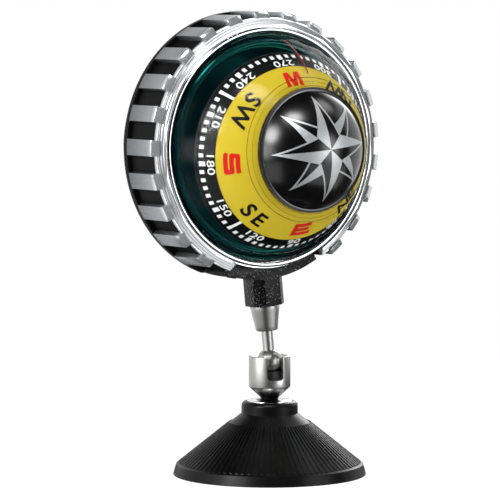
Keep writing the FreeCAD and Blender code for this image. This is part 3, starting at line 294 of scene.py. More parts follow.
def moulded_rubber():
    made, tree, spot = patterned("moulded_rubber")
    bloom = {0: spot, "Scale": 1 / RUBBER_BLOOM, "Detail": 3.0}
    bloom = add(tree, "ShaderNodeTexNoise", bloom)[0]
    grain = add(tree, "ShaderNodeTexNoise", {0: spot, "Scale": 1 / RUBBER_GRAIN})[0]
    edge_highlight = add(tree, "ShaderNodeNewGeometry")["Pointiness"]
    edge_highlight = add(tree, "ShaderNodeMapRange", {0: edge_highlight} | EDGE_HIGHLIGHT_SPAN)[0]
    black = {0: bloom, 6: linear("#030304"), 7: linear("#080809")}
    black = add(tree, "ShaderNodeMix", black, data_type="RGBA")[2]
    # painted highlight: sharp edges, found by Pointiness, are mixed towards grey
    colour = {0: edge_highlight, 6: black, 7: linear("#4a4a4c")}
    colour = add(tree, "ShaderNodeMix", colour, data_type="RGBA")[2]
    rough = add(tree, "ShaderNodeMapRange", {0: bloom, **NOISE_SPAN, 3: 0.3, 4: 0.42})[0]
    bump = add(tree, "ShaderNodeBump", {"Height": grain, "Distance": 0.012 * MM})[0]
    shader = {"Base Color": colour, "Roughness": rough, "Normal": bump, "IOR": 1.52}
    shader["Specular IOR Level"] = 0.15
    shader = add(tree, "ShaderNodeBsdfPrincipled", shader)[0]
    add(tree, "ShaderNodeOutputMaterial", {"Surface": shader})
    return made


# Chromium plate on polished brass: a near white mirror, a little wavy from the polishing mop.
MOP_WAVE = 5.0


def chromium_plate():
    made, tree, spot = patterned("chromium_plate")
    wave = add(tree, "ShaderNodeTexNoise", {0: spot, "Scale": 1 / MOP_WAVE})[0]
    rough = add(tree, "ShaderNodeMapRange", {0: wave, **NOISE_SPAN, 3: 0.1, 4: 0.17})[0]
    bump = add(tree, "ShaderNodeBump", {"Height": wave, "Distance": 0.006 * MM})[0]
    shader = {"Base Color": linear("#dfe1e2"), "Metallic": 1.0}
    shader |= {"Roughness": rough, "Normal": bump}
    shader = add(tree, "ShaderNodeBsdfPrincipled", shader)[0]
    add(tree, "ShaderNodeOutputMaterial", {"Surface": shader})
    return made


# Satin nickel on turned brass: a soft grey that runs from light to dark round each turned
# piece. The lathe's feed is drawn at 0.2 mm and very shallow, so that it dulls the shine
# evenly, and fifty times longer round the piece than along it. Below its cone's top, which
# CONE_TOP gives over the floor, the socket is painted dark grey: painted shade on the cone.
# NO_CONE lies below every piece.
LATHE_FEED = 0.2
LATHE_STRETCH = (0.02, 0.02, 1.0)
NICKEL_CLOUD = 4.0
CONE_TOP = 26.2
CONE_FADE = 1.0
NO_CONE = -100.0


def satin_nickel(name, matrix=None, painted_shade_below=NO_CONE):
    made, tree, spot = patterned(name, matrix)
    along = add(tree, "ShaderNodeMapping", {"Vector": spot, "Scale": LATHE_STRETCH})[0]
    cloud = {0: spot, "Scale": 1 / NICKEL_CLOUD, "Detail": 3.0}
    cloud = add(tree, "ShaderNodeTexNoise", cloud)[0]
    feed = add(tree, "ShaderNodeTexNoise", {0: along, "Scale": 1 / LATHE_FEED})[0]
    colour = {0: cloud, 6: linear("#a3a3a2"), 7: linear("#b8b8b7")}
    colour = add(tree, "ShaderNodeMix", colour, data_type="RGBA")[2]
    height = add(tree, "ShaderNodeSeparateXYZ", {0: spot})["Z"]
    height = {0: height, 1: painted_shade_below - CONE_FADE, 2: painted_shade_below, 3: 0.0, 4: 1.0}
    height = add(tree, "ShaderNodeMapRange", height)[0]
    # painted shade: dark grey below the cone's top
    colour = {0: height, 6: linear("#2e2e2e"), 7: colour}
    colour = add(tree, "ShaderNodeMix", colour, data_type="RGBA")[2]
    rough = add(tree, "ShaderNodeMapRange", {0: feed, **NOISE_SPAN, 3: 0.32, 4: 0.4})[0]
    bump = add(tree, "ShaderNodeBump", {"Height": feed, "Distance": 0.0006 * MM})[0]
    shader = {"Base Color": colour, "Metallic": 1.0, "Roughness": rough, "Normal": bump}
    shader = add(tree, "ShaderNodeBsdfPrincipled", shader)[0]
    add(tree, "ShaderNodeOutputMaterial", {"Surface": shader})
    return made


# Chromium plate on moulded ABS: satin on the grip's flats and polished on the front itself.
# Its colour is painted light: dark grey at the rear of the flats, lighter towards the front and
# near white on the front, painted reflections of the light there. The brush marks run along
# the dial's axis.
FLAT_BRUSH = 0.3
BRUSH_STRETCH = (1.0, 1.0, 0.1)
CROWN_REAR = -16.0
CROWN_FLAT_END = -3.0
CROWN_FRONT = -1.4


def plated_grip():
    made, tree, spot = patterned("satin_chromium_on_abs", DIAL)
    depth = add(tree, "ShaderNodeSeparateXYZ", {0: spot})["Z"]
    along = {0: depth, 1: CROWN_REAR, 2: CROWN_FLAT_END, 3: 0.0, 4: 1.0}
    along = add(tree, "ShaderNodeMapRange", along)[0]
    front = {0: depth, 1: CROWN_FLAT_END, 2: CROWN_FRONT, 3: 0.0, 4: 1.0}
    front = add(tree, "ShaderNodeMapRange", front)[0]
    brush = add(tree, "ShaderNodeMapping", {"Vector": spot, "Scale": BRUSH_STRETCH})[0]
    brush = add(tree, "ShaderNodeTexNoise", {0: brush, "Scale": 1 / FLAT_BRUSH})[0]
    # painted light: the flats run from dark grey at the rear to lighter grey at the front
    flat = {0: along, 6: linear("#525456"), 7: linear("#999b9d")}
    flat = add(tree, "ShaderNodeMix", flat, data_type="RGBA")[2]
    # painted highlight: near white on the front
    colour = {0: front, 6: flat, 7: linear("#cdcfd0")}
    colour = add(tree, "ShaderNodeMix", colour, data_type="RGBA")[2]
    satin = add(tree, "ShaderNodeMapRange", {0: brush, **NOISE_SPAN, 3: 0.26, 4: 0.38})[0]
    rough = {"Factor": front, "A": satin, "B": 0.16}
    rough = add(tree, "ShaderNodeMix", rough, data_type="FLOAT")[0]
    bump = add(tree, "ShaderNodeBump", {"Height": brush, "Distance": 0.002 * MM})[0]
    metal = add(tree, "ShaderNodeMapRange", {0: front, 1: 0.0, 2: 1.0, 3: 0.85, 4: 0.78})[0]
    shader = {"Base Color": colour, "Metallic": metal, "Roughness": rough, "Normal": bump}
    shader = add(tree, "ShaderNodeBsdfPrincipled", shader)[0]
    add(tree, "ShaderNodeOutputMaterial", {"Surface": shader})
    return made


# Injection moulded ABS: black, with the grain of its spark eroded mould. Its crests are painted
# lighter: painted glints for the bright points they catch. The grain and its depth are in
# millimetres.
GLINT_SPAN = {1: 0.6, 2: 0.67, 3: 0.0, 4: 1.0}


def moulded_abs(name, grain, depth, roughness, base_colour, glint_colour, shine):
    made, tree, spot = patterned(name, DIAL)
    crest = {0: spot, "Scale": 1 / grain, "Detail": 3.0, "Roughness": 0.6}
    crest = add(tree, "ShaderNodeTexNoise", crest)[0]
    # painted glints: the grain's crests are mixed towards a lighter grey
    tone = add(tree, "ShaderNodeMapRange", {0: crest} | GLINT_SPAN)[0]
    colour = {0: tone, 6: linear(base_colour), 7: linear(glint_colour)}
    colour = add(tree, "ShaderNodeMix", colour, data_type="RGBA")[2]
    rough = {0: crest, 1: 0.35, 2: 0.65, 3: roughness + 0.08, 4: roughness - 0.06}
    rough = add(tree, "ShaderNodeMapRange", rough)[0]
    bump = add(tree, "ShaderNodeBump", {"Height": crest, "Distance": depth * MM})[0]
    shader = {"Base Color": colour, "Roughness": rough, "Normal": bump, "IOR": 1.53}
    shader["Specular IOR Level"] = shine
    shader = add(tree, "ShaderNodeBsdfPrincipled", shader)[0]
    add(tree, "ShaderNodeOutputMaterial", {"Surface": shader})
    return made


# Cast acrylic dyed black, polished: deep, with lights that blur a little at their rims.
CASTING_WAVE = 7.0


def black_acrylic():
    made, tree, spot = patterned("polished_black_acrylic", DIAL)
    wave = add(tree, "ShaderNodeTexNoise", {0: spot, "Scale": 1 / CASTING_WAVE})[0]
    rough = add(tree, "ShaderNodeMapRange", {0: wave, **NOISE_SPAN, 3: 0.2, 4: 0.26})[0]
    bump = add(tree, "ShaderNodeBump", {"Height": wave, "Distance": 0.004 * MM})[0]
    shader = {"Base Color": linear("#050506"), "Roughness": rough, "Normal": bump}
    shader |= {"IOR": ACRYLIC_IOR, "Specular IOR Level": 0.6}
    shader = add(tree, "ShaderNodeBsdfPrincipled", shader)[0]
    add(tree, "ShaderNodeOutputMaterial", {"Surface": shader})
    return made


# Moulded clear acrylic over liquid. The liquid stops the light from bending at the inner face,
# so the shell is drawn as a thin clear skin that only mirrors, faintly at its middle and more
# at its rim.
SKIN = 0.1
CORNER_SKIN = 0.45


def clear_acrylic():
    made, tree, spot = patterned("clear_acrylic_skin", DIAL)
    wave = add(tree, "ShaderNodeTexNoise", {0: spot, "Scale": 1 / CASTING_WAVE})[0]
    rough = add(tree, "ShaderNodeMapRange", {0: wave, **NOISE_SPAN, 3: 0.02, 4: 0.05})[0]
    shader = {"Base Color": linear("#02100f"), "Roughness": rough, "Alpha": SKIN}
    shader["IOR"] = ACRYLIC_IOR
    shader = add(tree, "ShaderNodeBsdfPrincipled", shader)[0]
    add(tree, "ShaderNodeOutputMaterial", {"Surface": shader})
    return made


# The same acrylic at a moulded corner, drawn dark: painted shade for the light it sends aside.
def clear_acrylic_corner():
    made, tree, spot = patterned("clear_acrylic_corner", DIAL)
    wave = add(tree, "ShaderNodeTexNoise", {0: spot, "Scale": 1 / CASTING_WAVE})[0]
    rough = add(tree, "ShaderNodeMapRange", {0: wave, **NOISE_SPAN, 3: 0.05, 4: 0.15})[0]
    # painted shade: a dark, half opaque skin
    shader = {"Base Color": linear("#0a1208"), "Roughness": rough, "Alpha": CORNER_SKIN}
    shader["IOR"] = ACRYLIC_IOR
    shader = add(tree, "ShaderNodeBsdfPrincipled", shader)[0]
    add(tree, "ShaderNodeOutputMaterial", {"Surface": shader})
    return made


# Dyed acrylic under the liquid: dark petrol green that changes from its floor to its top. On
# the bowl the floor is painted lighter than the top: painted light where the card shades it.
# Its lights are green because they pass through the dye.
BOWL_FLOOR = -20.0
BOWL_TOP = -3.0


def dyed_acrylic(name, deep, high, roughness, shine):
    made, tree, spot = patterned(name, DIAL)
    depth = add(tree, "ShaderNodeSeparateXYZ", {0: spot})["Z"]
    depth = {0: depth, 1: BOWL_FLOOR, 2: BOWL_TOP, 3: 0.0, 4: 1.0}
    depth = add(tree, "ShaderNodeMapRange", depth)[0]
    wave = add(tree, "ShaderNodeTexNoise", {0: spot, "Scale": 1 / CASTING_WAVE})[0]
    colour = {0: depth, 6: linear(deep), 7: linear(high)}
    colour = add(tree, "ShaderNodeMix", colour, data_type="RGBA")[2]
    low, top = roughness - 0.03, roughness + 0.03
    rough = add(tree, "ShaderNodeMapRange", {0: wave, **NOISE_SPAN, 3: low, 4: top})[0]
    shader = {
        "Base Color": colour,
        "Roughness": rough,
        "IOR": ACRYLIC_IOR,
        "Specular IOR Level": shine,
        "Specular Tint": linear("#1ccbb8"),
    }
    shader = add(tree, "ShaderNodeBsdfPrincipled", shader)[0]
    add(tree, "ShaderNodeOutputMaterial", {"Surface": shader})
    return made


# Silk screened card: a chrome yellow disc and a black band, with the faint tooth of dried ink.
# Under the liquid the card, its inks and the enamelled line hardly shine, which UNDER_LIQUID
# gives as their specular level.
UNDER_LIQUID = 0.15
INK_CLOUD = 7.0
INK_TOOTH = 0.25
INK_EDGE = 0.02


def screened_card():
    made, tree, spot = patterned("silk_screened_card", CARD)
    flat = add(tree, "ShaderNodeVectorMath", {0: spot, 1: (1, 1, 0)}, operation="MULTIPLY")[0]
    radius = add(tree, "ShaderNodeVectorMath", {0: flat}, operation="LENGTH")["Value"]
    band = {0: radius, 1: BAND_EDGE - INK_EDGE, 2: BAND_EDGE + INK_EDGE, 3: 0.0, 4: 1.0}
    band = add(tree, "ShaderNodeMapRange", band)[0]
    cloud = add(tree, "ShaderNodeTexNoise", {0: spot, "Scale": 1 / INK_CLOUD})[0]
    tooth = add(tree, "ShaderNodeTexNoise", {0: spot, "Scale": 1 / INK_TOOTH})[0]
    yellow = {0: cloud, 6: linear("#c6ae22"), 7: linear("#d2bb2b")}
    yellow = add(tree, "ShaderNodeMix", yellow, data_type="RGBA")[2]
    colour = {0: band, 6: yellow, 7: linear("#070808")}
    colour = add(tree, "ShaderNodeMix", colour, data_type="RGBA")[2]
    rough = add(tree, "ShaderNodeMapRange", {0: tooth, **NOISE_SPAN, 3: 0.4, 4: 0.5})[0]
    bump = add(tree, "ShaderNodeBump", {"Height": tooth, "Distance": 0.003 * MM})[0]
    shader = {"Base Color": colour, "Roughness": rough, "Normal": bump, "IOR": INK_IOR}
    shader["Specular IOR Level"] = UNDER_LIQUID
    shader = add(tree, "ShaderNodeBsdfPrincipled", shader)[0]
    add(tree, "ShaderNodeOutputMaterial", {"Surface": shader})
    return made


# Screen printing ink or enamel: one colour, a little uneven in tone and shine as it dries.
INK_BLOTCH = 1.0


def printing_ink(name, thin, full, roughness=0.42):
    made, tree, spot = patterned(name, DIAL)
    cloud = {0: spot, "Scale": 1 / INK_BLOTCH, "Detail": 3.0}
    cloud = add(tree, "ShaderNodeTexNoise", cloud)[0]
    tooth = add(tree, "ShaderNodeTexNoise", {0: spot, "Scale": 1 / INK_TOOTH})[0]
    colour = {0: cloud, 6: linear(thin), 7: linear(full)}
    colour = add(tree, "ShaderNodeMix", colour, data_type="RGBA")[2]
    low, top = roughness - 0.05, roughness + 0.05
    rough = add(tree, "ShaderNodeMapRange", {0: cloud, **NOISE_SPAN, 3: low, 4: top})[0]
    bump = add(tree, "ShaderNodeBump", {"Height": tooth, "Distance": 0.002 * MM})[0]
    shader = {"Base Color": colour, "Roughness": rough, "Normal": bump, "IOR": INK_IOR}
    shader["Specular IOR Level"] = UNDER_LIQUID
    shader = add(tree, "ShaderNodeBsdfPrincipled", shader)[0]
    add(tree, "ShaderNodeOutputMaterial", {"Surface": shader})
    return made


# Hot stamped silver foil: satin, with the fine streaks that the stamp leaves one way.
FOIL_STREAK = 0.3
FOIL_STRETCH = (1.0, 0.08, 1.0)


def silver_foil():
    made, tree, spot = patterned("hot_stamped_silver_foil", DIAL)
    streak = add(tree, "ShaderNodeMapping", {"Vector": spot, "Scale": FOIL_STRETCH})[0]
    streak = add(tree, "ShaderNodeTexNoise", {0: streak, "Scale": 1 / FOIL_STREAK})[0]
    colour = {0: streak, 6: linear("#a6a8aa"), 7: linear("#c6c8c8")}
    colour = add(tree, "ShaderNodeMix", colour, data_type="RGBA")[2]
    rough = add(tree, "ShaderNodeMapRange", {0: streak, **NOISE_SPAN, 3: 0.42, 4: 0.52})[0]
    bump = add(tree, "ShaderNodeBump", {"Height": streak, "Distance": 0.002 * MM})[0]
    shader = {"Base Color": colour, "Metallic": 0.8, "Roughness": rough, "Normal": bump}
    shader = add(tree, "ShaderNodeBsdfPrincipled", shader)[0]
    add(tree, "ShaderNodeOutputMaterial", {"Surface": shader})
    return made


# Small worked parts: one tone, broken by the marks of their making.
def worked(name):
    dark, light, metallic, roughness, grain = WORKED[name]
    made, tree, spot = patterned(name)
    speck = add(tree, "ShaderNodeTexNoise", {0: spot, "Scale": 1 / grain, "Detail": 3.0})[0]
    colour = {0: speck, 6: linear(dark), 7: linear(light)}
    colour = add(tree, "ShaderNodeMix", colour, data_type="RGBA")[2]
    low, top = roughness - 0.06, roughness + 0.06
    rough = add(tree, "ShaderNodeMapRange", {0: speck, **NOISE_SPAN, 3: low, 4: top})[0]
    bump = add(tree, "ShaderNodeBump", {"Height": speck, "Distance": 0.003 * MM})[0]
    shader = {"Base Color": colour, "Metallic": metallic, "Roughness": rough, "Normal": bump}
    shader = add(tree, "ShaderNodeBsdfPrincipled", shader)[0]
    add(tree, "ShaderNodeOutputMaterial", {"Surface": shader})
    return made


# Meshes


def new_object(name, data, finish=None):
    """An object in the scene from a mesh, a curve, a light or a camera."""
    item = bpy.data.objects.new(name, data)
    bpy.context.scene.collection.objects.link(item)
    if finish is not None:
        data.materials.clear()
        data.materials.append(finish)
    return item


def evaluated_mesh(item):
    """The object's mesh with its modifiers worked out."""
    bpy.context.view_layer.update()
    graph = bpy.context.evaluated_depsgraph_get()
    return bpy.data.meshes.new_from_object(item.evaluated_get(graph), depsgraph=graph)


def remove(item):
    bpy.data.objects.remove(item, do_unlink=True)


def smooth(mesh, angle=SHARP_ANGLE):
    """Smooth shading with the edges sharper than an angle kept sharp."""
    for face in mesh.polygons:
        face.use_smooth = True
    mesh.set_sharp_from_angle(angle=math.radians(angle))


def put(item, matrix, body):
    """Places a piece made in millimetres in one of the frames and hangs it on its body."""
    item.data.transform(matrix @ Matrix.Scale(MM, 4))
    item.data.update()
    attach(item, body)


def eased_copy(node, finish, bevel):
    """A copy of a solid's mesh with its triangles merged, and its sharp edges eased."""
    name = node + "_finished"
    mesh = frame["nodes"][node].data.copy()
    mesh.name = name
    work = bmesh.new()
    work.from_mesh(mesh)
    bmesh.ops.remove_doubles(work, verts=work.verts, dist=SAME_POINT)
    flat = math.radians(FLAT_ANGLE)
    bmesh.ops.dissolve_limit(work, angle_limit=flat, verts=work.verts, edges=work.edges)
    work.to_mesh(mesh)
    work.free()
    item = new_object(name, mesh, finish)
    if mesh.has_custom_normals:
        with bpy.context.temp_override(object=item, active_object=item):
            bpy.ops.mesh.customdata_custom_splitnormals_clear()
    eased = item.modifiers.new("eased_edges", "BEVEL")
    eased.width = bevel * MM
    eased.segments = 2
    eased.limit_method = "ANGLE"
    eased.angle_limit = math.radians(SHARP_ANGLE)
    result = evaluated_mesh(item)
    item.modifiers.clear()
    item.data = result
    smooth(item.data)
    return item


def on_sphere(mesh, radius, polar, around):
    """Wraps a flat mesh on a sphere: +Y of the flat mesh points towards the pole. Its origin
    goes to a polar angle from +Z and an angle around it, both in radians."""
    for vertex in mesh.vertices:
        x, y, z = vertex.co
        theta = polar - y / radius
        phi = around + x / (radius * math.sin(polar))
        out = radius + z
        vertex.co = (
            out * math.sin(theta) * math.cos(phi),
            out * math.sin(theta) * math.sin(phi),
            out * math.cos(theta),
        )


def cut_small(mesh, longest):
    """Splits a flat mesh into triangles with no edge much longer than a length."""
    work = bmesh.new()
    work.from_mesh(mesh)
    bmesh.ops.remove_doubles(work, verts=work.verts, dist=SAME_PRINT_POINT)
    bmesh.ops.triangulate(work, faces=work.faces)
    for _ in range(MOST_CUTS):
        long_edges = [edge for edge in work.edges if edge.calc_length() > longest]
        if not long_edges:
            break
        bmesh.ops.subdivide_edges(work, edges=long_edges, cuts=1)
        bmesh.ops.triangulate(work, faces=work.faces)
    work.to_mesh(mesh)
    work.free()


def flat_mesh(name, outlines, longest=1.0):
    """Flat faces from closed outlines of points."""
    work = bmesh.new()
    for outline in outlines:
        work.faces.new([work.verts.new((x, y, 0.0)) for x, y in outline])
    bmesh.ops.recalc_face_normals(work, faces=work.faces)
    for face in work.faces:
        if face.normal.z < 0:
            face.normal_flip()
    mesh = bpy.data.meshes.new(name)
    work.to_mesh(mesh)
    work.free()
    cut_small(mesh, longest)
    return mesh


def thicken(mesh, thickness):
    """Gives a sheet a thickness, half of it to each side."""
    item = new_object("sheet", mesh)
    wall = item.modifiers.new("wall", "SOLIDIFY")
    wall.thickness = thickness
    wall.offset = 0.0
    result = evaluated_mesh(item)
    remove(item)
    return result


def joined(name, meshes, finish):
    """One object from several meshes."""
    work = bmesh.new()
    for mesh in meshes:
        work.from_mesh(mesh)
        bpy.data.meshes.remove(mesh)
    whole = bpy.data.meshes.new(name)
    work.to_mesh(whole)
    work.free()
    return new_object(name, whole, finish)


# Repeats round an axis, made by one tree of geometry nodes


def ring_tree():
    """Copies of a piece turned about Z, with every so many left out."""
    tree = bpy.data.node_groups.new("repeat_round_axis", "GeometryNodeTree")
    for name, kind in (
        ("Geometry", "NodeSocketGeometry"),
        ("Piece", "NodeSocketObject"),
        ("Count", "NodeSocketInt"),
        ("Pitch", "NodeSocketFloat"),
        ("First", "NodeSocketFloat"),
        ("Leave out every", "NodeSocketInt"),
        ("Finish", "NodeSocketMaterial"),
    ):
        tree.interface.new_socket(name, in_out="INPUT", socket_type=kind)
    tree.interface.new_socket("Geometry", in_out="OUTPUT", socket_type="NodeSocketGeometry")
    given = add(tree, "NodeGroupInput")
    points = add(tree, "GeometryNodePoints", {"Count": given["Count"]})[0]
    index = add(tree, "GeometryNodeInputIndex")[0]
    turn = {0: index, 1: given["Pitch"], 2: given["First"]}
    turn = add(tree, "ShaderNodeMath", turn, operation="MULTIPLY_ADD")[0]
    turn = add(tree, "ShaderNodeCombineXYZ", {"Z": turn})[0]
    # a remainder of 0 marks the ones to leave out, and 0 for "Leave out every" keeps them all
    remainder = {0: index, 1: given["Leave out every"]}
    remainder = add(tree, "ShaderNodeMath", remainder, operation="MODULO")[0]
    keep_all = {0: given["Leave out every"], 1: 0.5}
    keep_all = add(tree, "ShaderNodeMath", keep_all, operation="LESS_THAN")[0]
    kept = add(tree, "ShaderNodeMath", {0: remainder, 1: keep_all}, operation="ADD")[0]
    kept = add(tree, "ShaderNodeMath", {0: kept, 1: 0.5}, operation="GREATER_THAN")[0]
    piece = add(tree, "GeometryNodeObjectInfo", {"Object": given["Piece"]})["Geometry"]
    copies = {"Points": points, "Selection": kept, "Instance": piece, "Rotation": turn}
    copies = add(tree, "GeometryNodeInstanceOnPoints", copies)[0]
    whole = add(tree, "GeometryNodeRealizeInstances", {0: copies})[0]
    whole = {"Geometry": whole, "Material": given["Finish"]}
    whole = add(tree, "GeometryNodeSetMaterial", whole)[0]
    add(tree, "NodeGroupOutput", {0: whole})
    return tree


RING = ring_tree()


def round_axis(name, mesh, finish, count, pitch, first=0.0, leave_out=0):
    """One object that holds a mesh repeated round Z; angles in degrees."""
    piece = new_object(name + "_one", mesh)
    item = new_object(name, bpy.data.meshes.new(name))
    repeat = item.modifiers.new("repeat", "NODES")
    repeat.node_group = RING
    values = {
        "Piece": piece,
        "Count": count,
        "Pitch": math.radians(pitch),
        "First": math.radians(first),
        "Leave out every": leave_out,
        "Finish": finish,
    }
    for socket in RING.interface.items_tree:
        if socket.in_out == "INPUT" and socket.name in values:
            repeat[socket.identifier] = values[socket.name]
    result = evaluated_mesh(item)
    item.modifiers.clear()
    item.data = result
    remove(piece)
    return item


# Floating card


def polar_angle(across, radius):
    """How far from +Z a sphere is as wide as that."""
    return math.asin(across / radius)


def card_mark(name, length, width, lift=0.0):
    """A printed bar on the black band that starts at the marks' outer circle."""
    half = width / 2
    mesh = flat_mesh(name, [[(-half, 0), (half, 0), (half, length), (-half, length)]])
    mesh = thicken(mesh, PRINT_THICKNESS)
    on_sphere(mesh, BAND_RADIUS + lift, polar_angle(MARK_OUTER, BAND_RADIUS), 0.0)
    return mesh


def card_marks(white):
    outer = BAND_RADIUS * polar_angle(MARK_OUTER, BAND_RADIUS)
    to_disc = outer - BAND_RADIUS * polar_angle(BAND_EDGE, BAND_RADIUS)
    small = card_mark("mark", MARK_LENGTH, MARK_WIDTH)
    block = card_mark("block", BLOCK_LENGTH, BLOCK_WIDTH)
    line = card_mark("line", to_disc, LINE_WIDTH, PRINT_THICKNESS / 4)
    marks, thirties, every = 360 // MARK_STEP, 360 // NUMBER_STEP, NUMBER_STEP // MARK_STEP
    rings = (
        round_axis("card_marks", small, white, marks, MARK_STEP, leave_out=every),
        round_axis("card_thirties", block, white, thirties, NUMBER_STEP),
        round_axis("card_quarter_lines", line, white, 4, 90, first=45),
    )
    for ring in rings:
        put(ring, CARD, "card")


def text_mesh(text, height, weight, spacing, widening):
    """Capitals or figures of a height, centred, as a flat mesh."""
    curve = bpy.data.curves.new("letters", "FONT")
    curve.body = text
    curve.align_x = "CENTER"
    curve.align_y = "CENTER"
    curve.size = height / CAPITAL_SHARE
    curve.offset = weight
    curve.space_character = spacing
    item = new_object("letters", curve)
    mesh = evaluated_mesh(item)
    remove(item)
    mesh.transform(Matrix.Diagonal((widening, 1, 1, 1)))
    low = min(vertex.co.y for vertex in mesh.vertices)
    high = max(vertex.co.y for vertex in mesh.vertices)
    mesh.transform(Matrix.Translation((0, -(low + high) / 2, 0)))
    cut_small(mesh, LETTER_EDGE)
    return mesh


def lettering(name, words, across, radius, finish):
    """Words round the card, each with its mesh and its angle in degrees, tops to the middle."""
    meshes = []
    for mesh, angle in words:
        mesh = thicken(mesh, PRINT_THICKNESS)
        on_sphere(mesh, radius, polar_angle(across, radius), math.radians(angle))
        meshes.append(mesh)
    put(joined(name, meshes, finish), CARD, "card")


def card_numbers(white):
    style = (DIGIT_HEIGHT, DIGIT_WEIGHT, DIGIT_SPACING, DIGIT_WIDENING)
    bearings = range(0, 360, NUMBER_STEP)
    words = [(text_mesh(str(bearing), *style), -bearing) for bearing in bearings]
    lettering("card_numbers", words, DIGIT_PLACE, BAND_RADIUS, white)


def block_letter(letter):
    """A square, bold capital from straight strokes. w and h are half its width and height, t is
    its stroke and m is half of that."""
    w = POINT_WIDTH / 2
    h = POINT_HEIGHT / 2
    t = POINT_STROKE
    m = t / 2
    corner = t * 0.35
    slant = t * 1.5
    if letter == "N":
        outline = [(-w, -h), (-w + t, -h), (-w + t, h - slant), (w - t, -h), (w, -h), (w, h)]
        outline += [(w - t, h), (w - t, -h + slant), (-w + t, h), (-w, h)]
    elif letter == "E":
        outline = [(-w, -h), (w, -h), (w, -h + t), (-w + t, -h + t), (-w + t, -m), (w - m, -m)]
        outline += [(w - m, m), (-w + t, m), (-w + t, h - t), (w, h - t), (w, h), (-w, h)]
    elif letter == "S":
        outline = [(-w + corner, -h), (w - corner, -h), (w, -h + corner), (w, m - corner)]
        outline += [(w - corner, m), (-w + t, m), (-w + t, h - t), (w, h - t), (w, h)]
        outline += [(-w + corner, h), (-w, h - corner), (-w, -m + corner), (-w + corner, -m)]
        outline += [(w - t, -m), (w - t, -h + t), (-w, -h + t), (-w, -h + corner)]
    else:
        notch = m * 1.2
        inner, foot = w - t * 1.1, -h + t * 1.3
        outline = [(-w + m, -h), (-notch, -h), (0, h * 0.2), (notch, -h), (w - m, -h), (w, h)]
        outline += [(w - t, h), (inner, foot), (m, h), (-m, h)]
        outline += [(-inner, foot), (-w + t, h), (-w, h)]
    return flat_mesh("letter_" + letter, [outline], SHAPE_EDGE)


def card_points(red, black):
    quarters = zip("NWSE", (0, 90, 180, 270))
    words = [(block_letter(letter), angle) for letter, angle in quarters]
    lettering("card_main_points", words, POINT_PLACE, CARD_RADIUS, red)
    style = (BETWEEN_HEIGHT, BETWEEN_WEIGHT, 1.0, BETWEEN_WIDENING)
    between = [(text_mesh(letter, *style), angle) for letter, angle in BETWEEN_LETTERS]
    lettering("card_between_points", between, BETWEEN_PLACE, CARD_RADIUS, black)


# Star on the cap


def on_cap(mesh):
    """Moves a flat mesh along the dial axis onto the cap."""
    foot = math.sqrt(DOME_RADIUS**2 - CAP_FOOT**2) - DOME_SETBACK + CAP_FOOT_RISE
    centre = foot - math.sqrt(CAP_CURVE**2 - CAP_FOOT**2)
    for vertex in mesh.vertices:
        x, y, z = vertex.co
        height = math.sqrt(max(CAP_CURVE**2 - x**2 - y**2, 0.0))
        direction = Vector((x, y, height)).normalized()
        vertex.co = direction * (CAP_CURVE + z) + Vector((0, 0, centre))


def polar_point(radius, degrees):
    angle = math.radians(degrees)
    return Vector((radius * math.cos(angle), radius * math.sin(angle)))


def edge_line(tip, foot):
    """A silver line inside the edge that runs from a point's tip to its foot on the right."""
    along = (foot - tip).normalized()
    across = Vector((-along.y, along.x))
    if across.y < 0:
        across = -across
    narrow = math.atan2(-along.y, -along.x)
    inner_tip = tip - Vector((STAR_LINE / abs(math.sin(narrow)), 0))
    return [tuple(inner_tip), tuple(foot + across * STAR_LINE), tuple(foot), tuple(tip)]


def star_inlay(silver):
    """Four points in front and four behind. Each has one half filled and the other outlined."""
    tip = Vector((STAR_TIP, 0))
    waist = polar_point(STAR_WAIST, 45)
    slope = waist.y / (STAR_TIP - waist.x)
    valley_slope = math.tan(math.radians(VALLEY_ANGLE))
    valley_x = slope * STAR_TIP / (valley_slope + slope)
    valley = Vector((valley_x, valley_x * valley_slope))
    mirrored = [Vector((corner.x, -corner.y)) for corner in (waist, valley)]
    before = [[(0, 0), tuple(tip), tuple(waist)], edge_line(tip, mirrored[0])]
    behind = [[(STAR_WAIST, 0), tuple(tip), tuple(valley)], edge_line(tip, mirrored[1])]
    rings = []
    for name, outlines, first in (("before", before, 0), ("behind", behind, 45)):
        mesh = flat_mesh("star_" + name, outlines, SHAPE_EDGE)
        ring = round_axis("star_" + name, mesh, silver, STAR_POINTS, 90, first=first)
        rings.append(ring)
    meshes = []
    for ring in rings:
        flat = ring.data.copy()
        remove(ring)
        flat.transform(Matrix.Translation((*STAR_SHIFT, 0)))
        flat = thicken(flat, INLAY_THICKNESS)
        on_cap(flat)
        meshes.append(flat)
    put(joined("star_inlay", meshes, silver), DIAL, "head")


# Rounded lip of the bowl, just inside the bezel


def turned(name, profile):
    """A mesh from a closed profile of radius and height, turned round Z."""
    work = bmesh.new()
    rings = []
    for step in range(TURNED_SIDES):
        angle = 2 * math.pi * step / TURNED_SIDES
        spots = [(r * math.cos(angle), r * math.sin(angle), z) for r, z in profile]
        rings.append([work.verts.new(spot) for spot in spots])
    for ring, following in zip(rings, rings[1:] + rings[:1]):
        for position in range(len(profile)):
            beyond = (position + 1) % len(profile)
            corners = (ring[position], following[position], following[beyond], ring[beyond])
            work.faces.new(corners)
    bmesh.ops.recalc_face_normals(work, faces=work.faces)
    mesh = bpy.data.meshes.new(name)
    work.to_mesh(mesh)
    work.free()
    smooth(mesh, TURNED_SHARP_ANGLE)
    return mesh


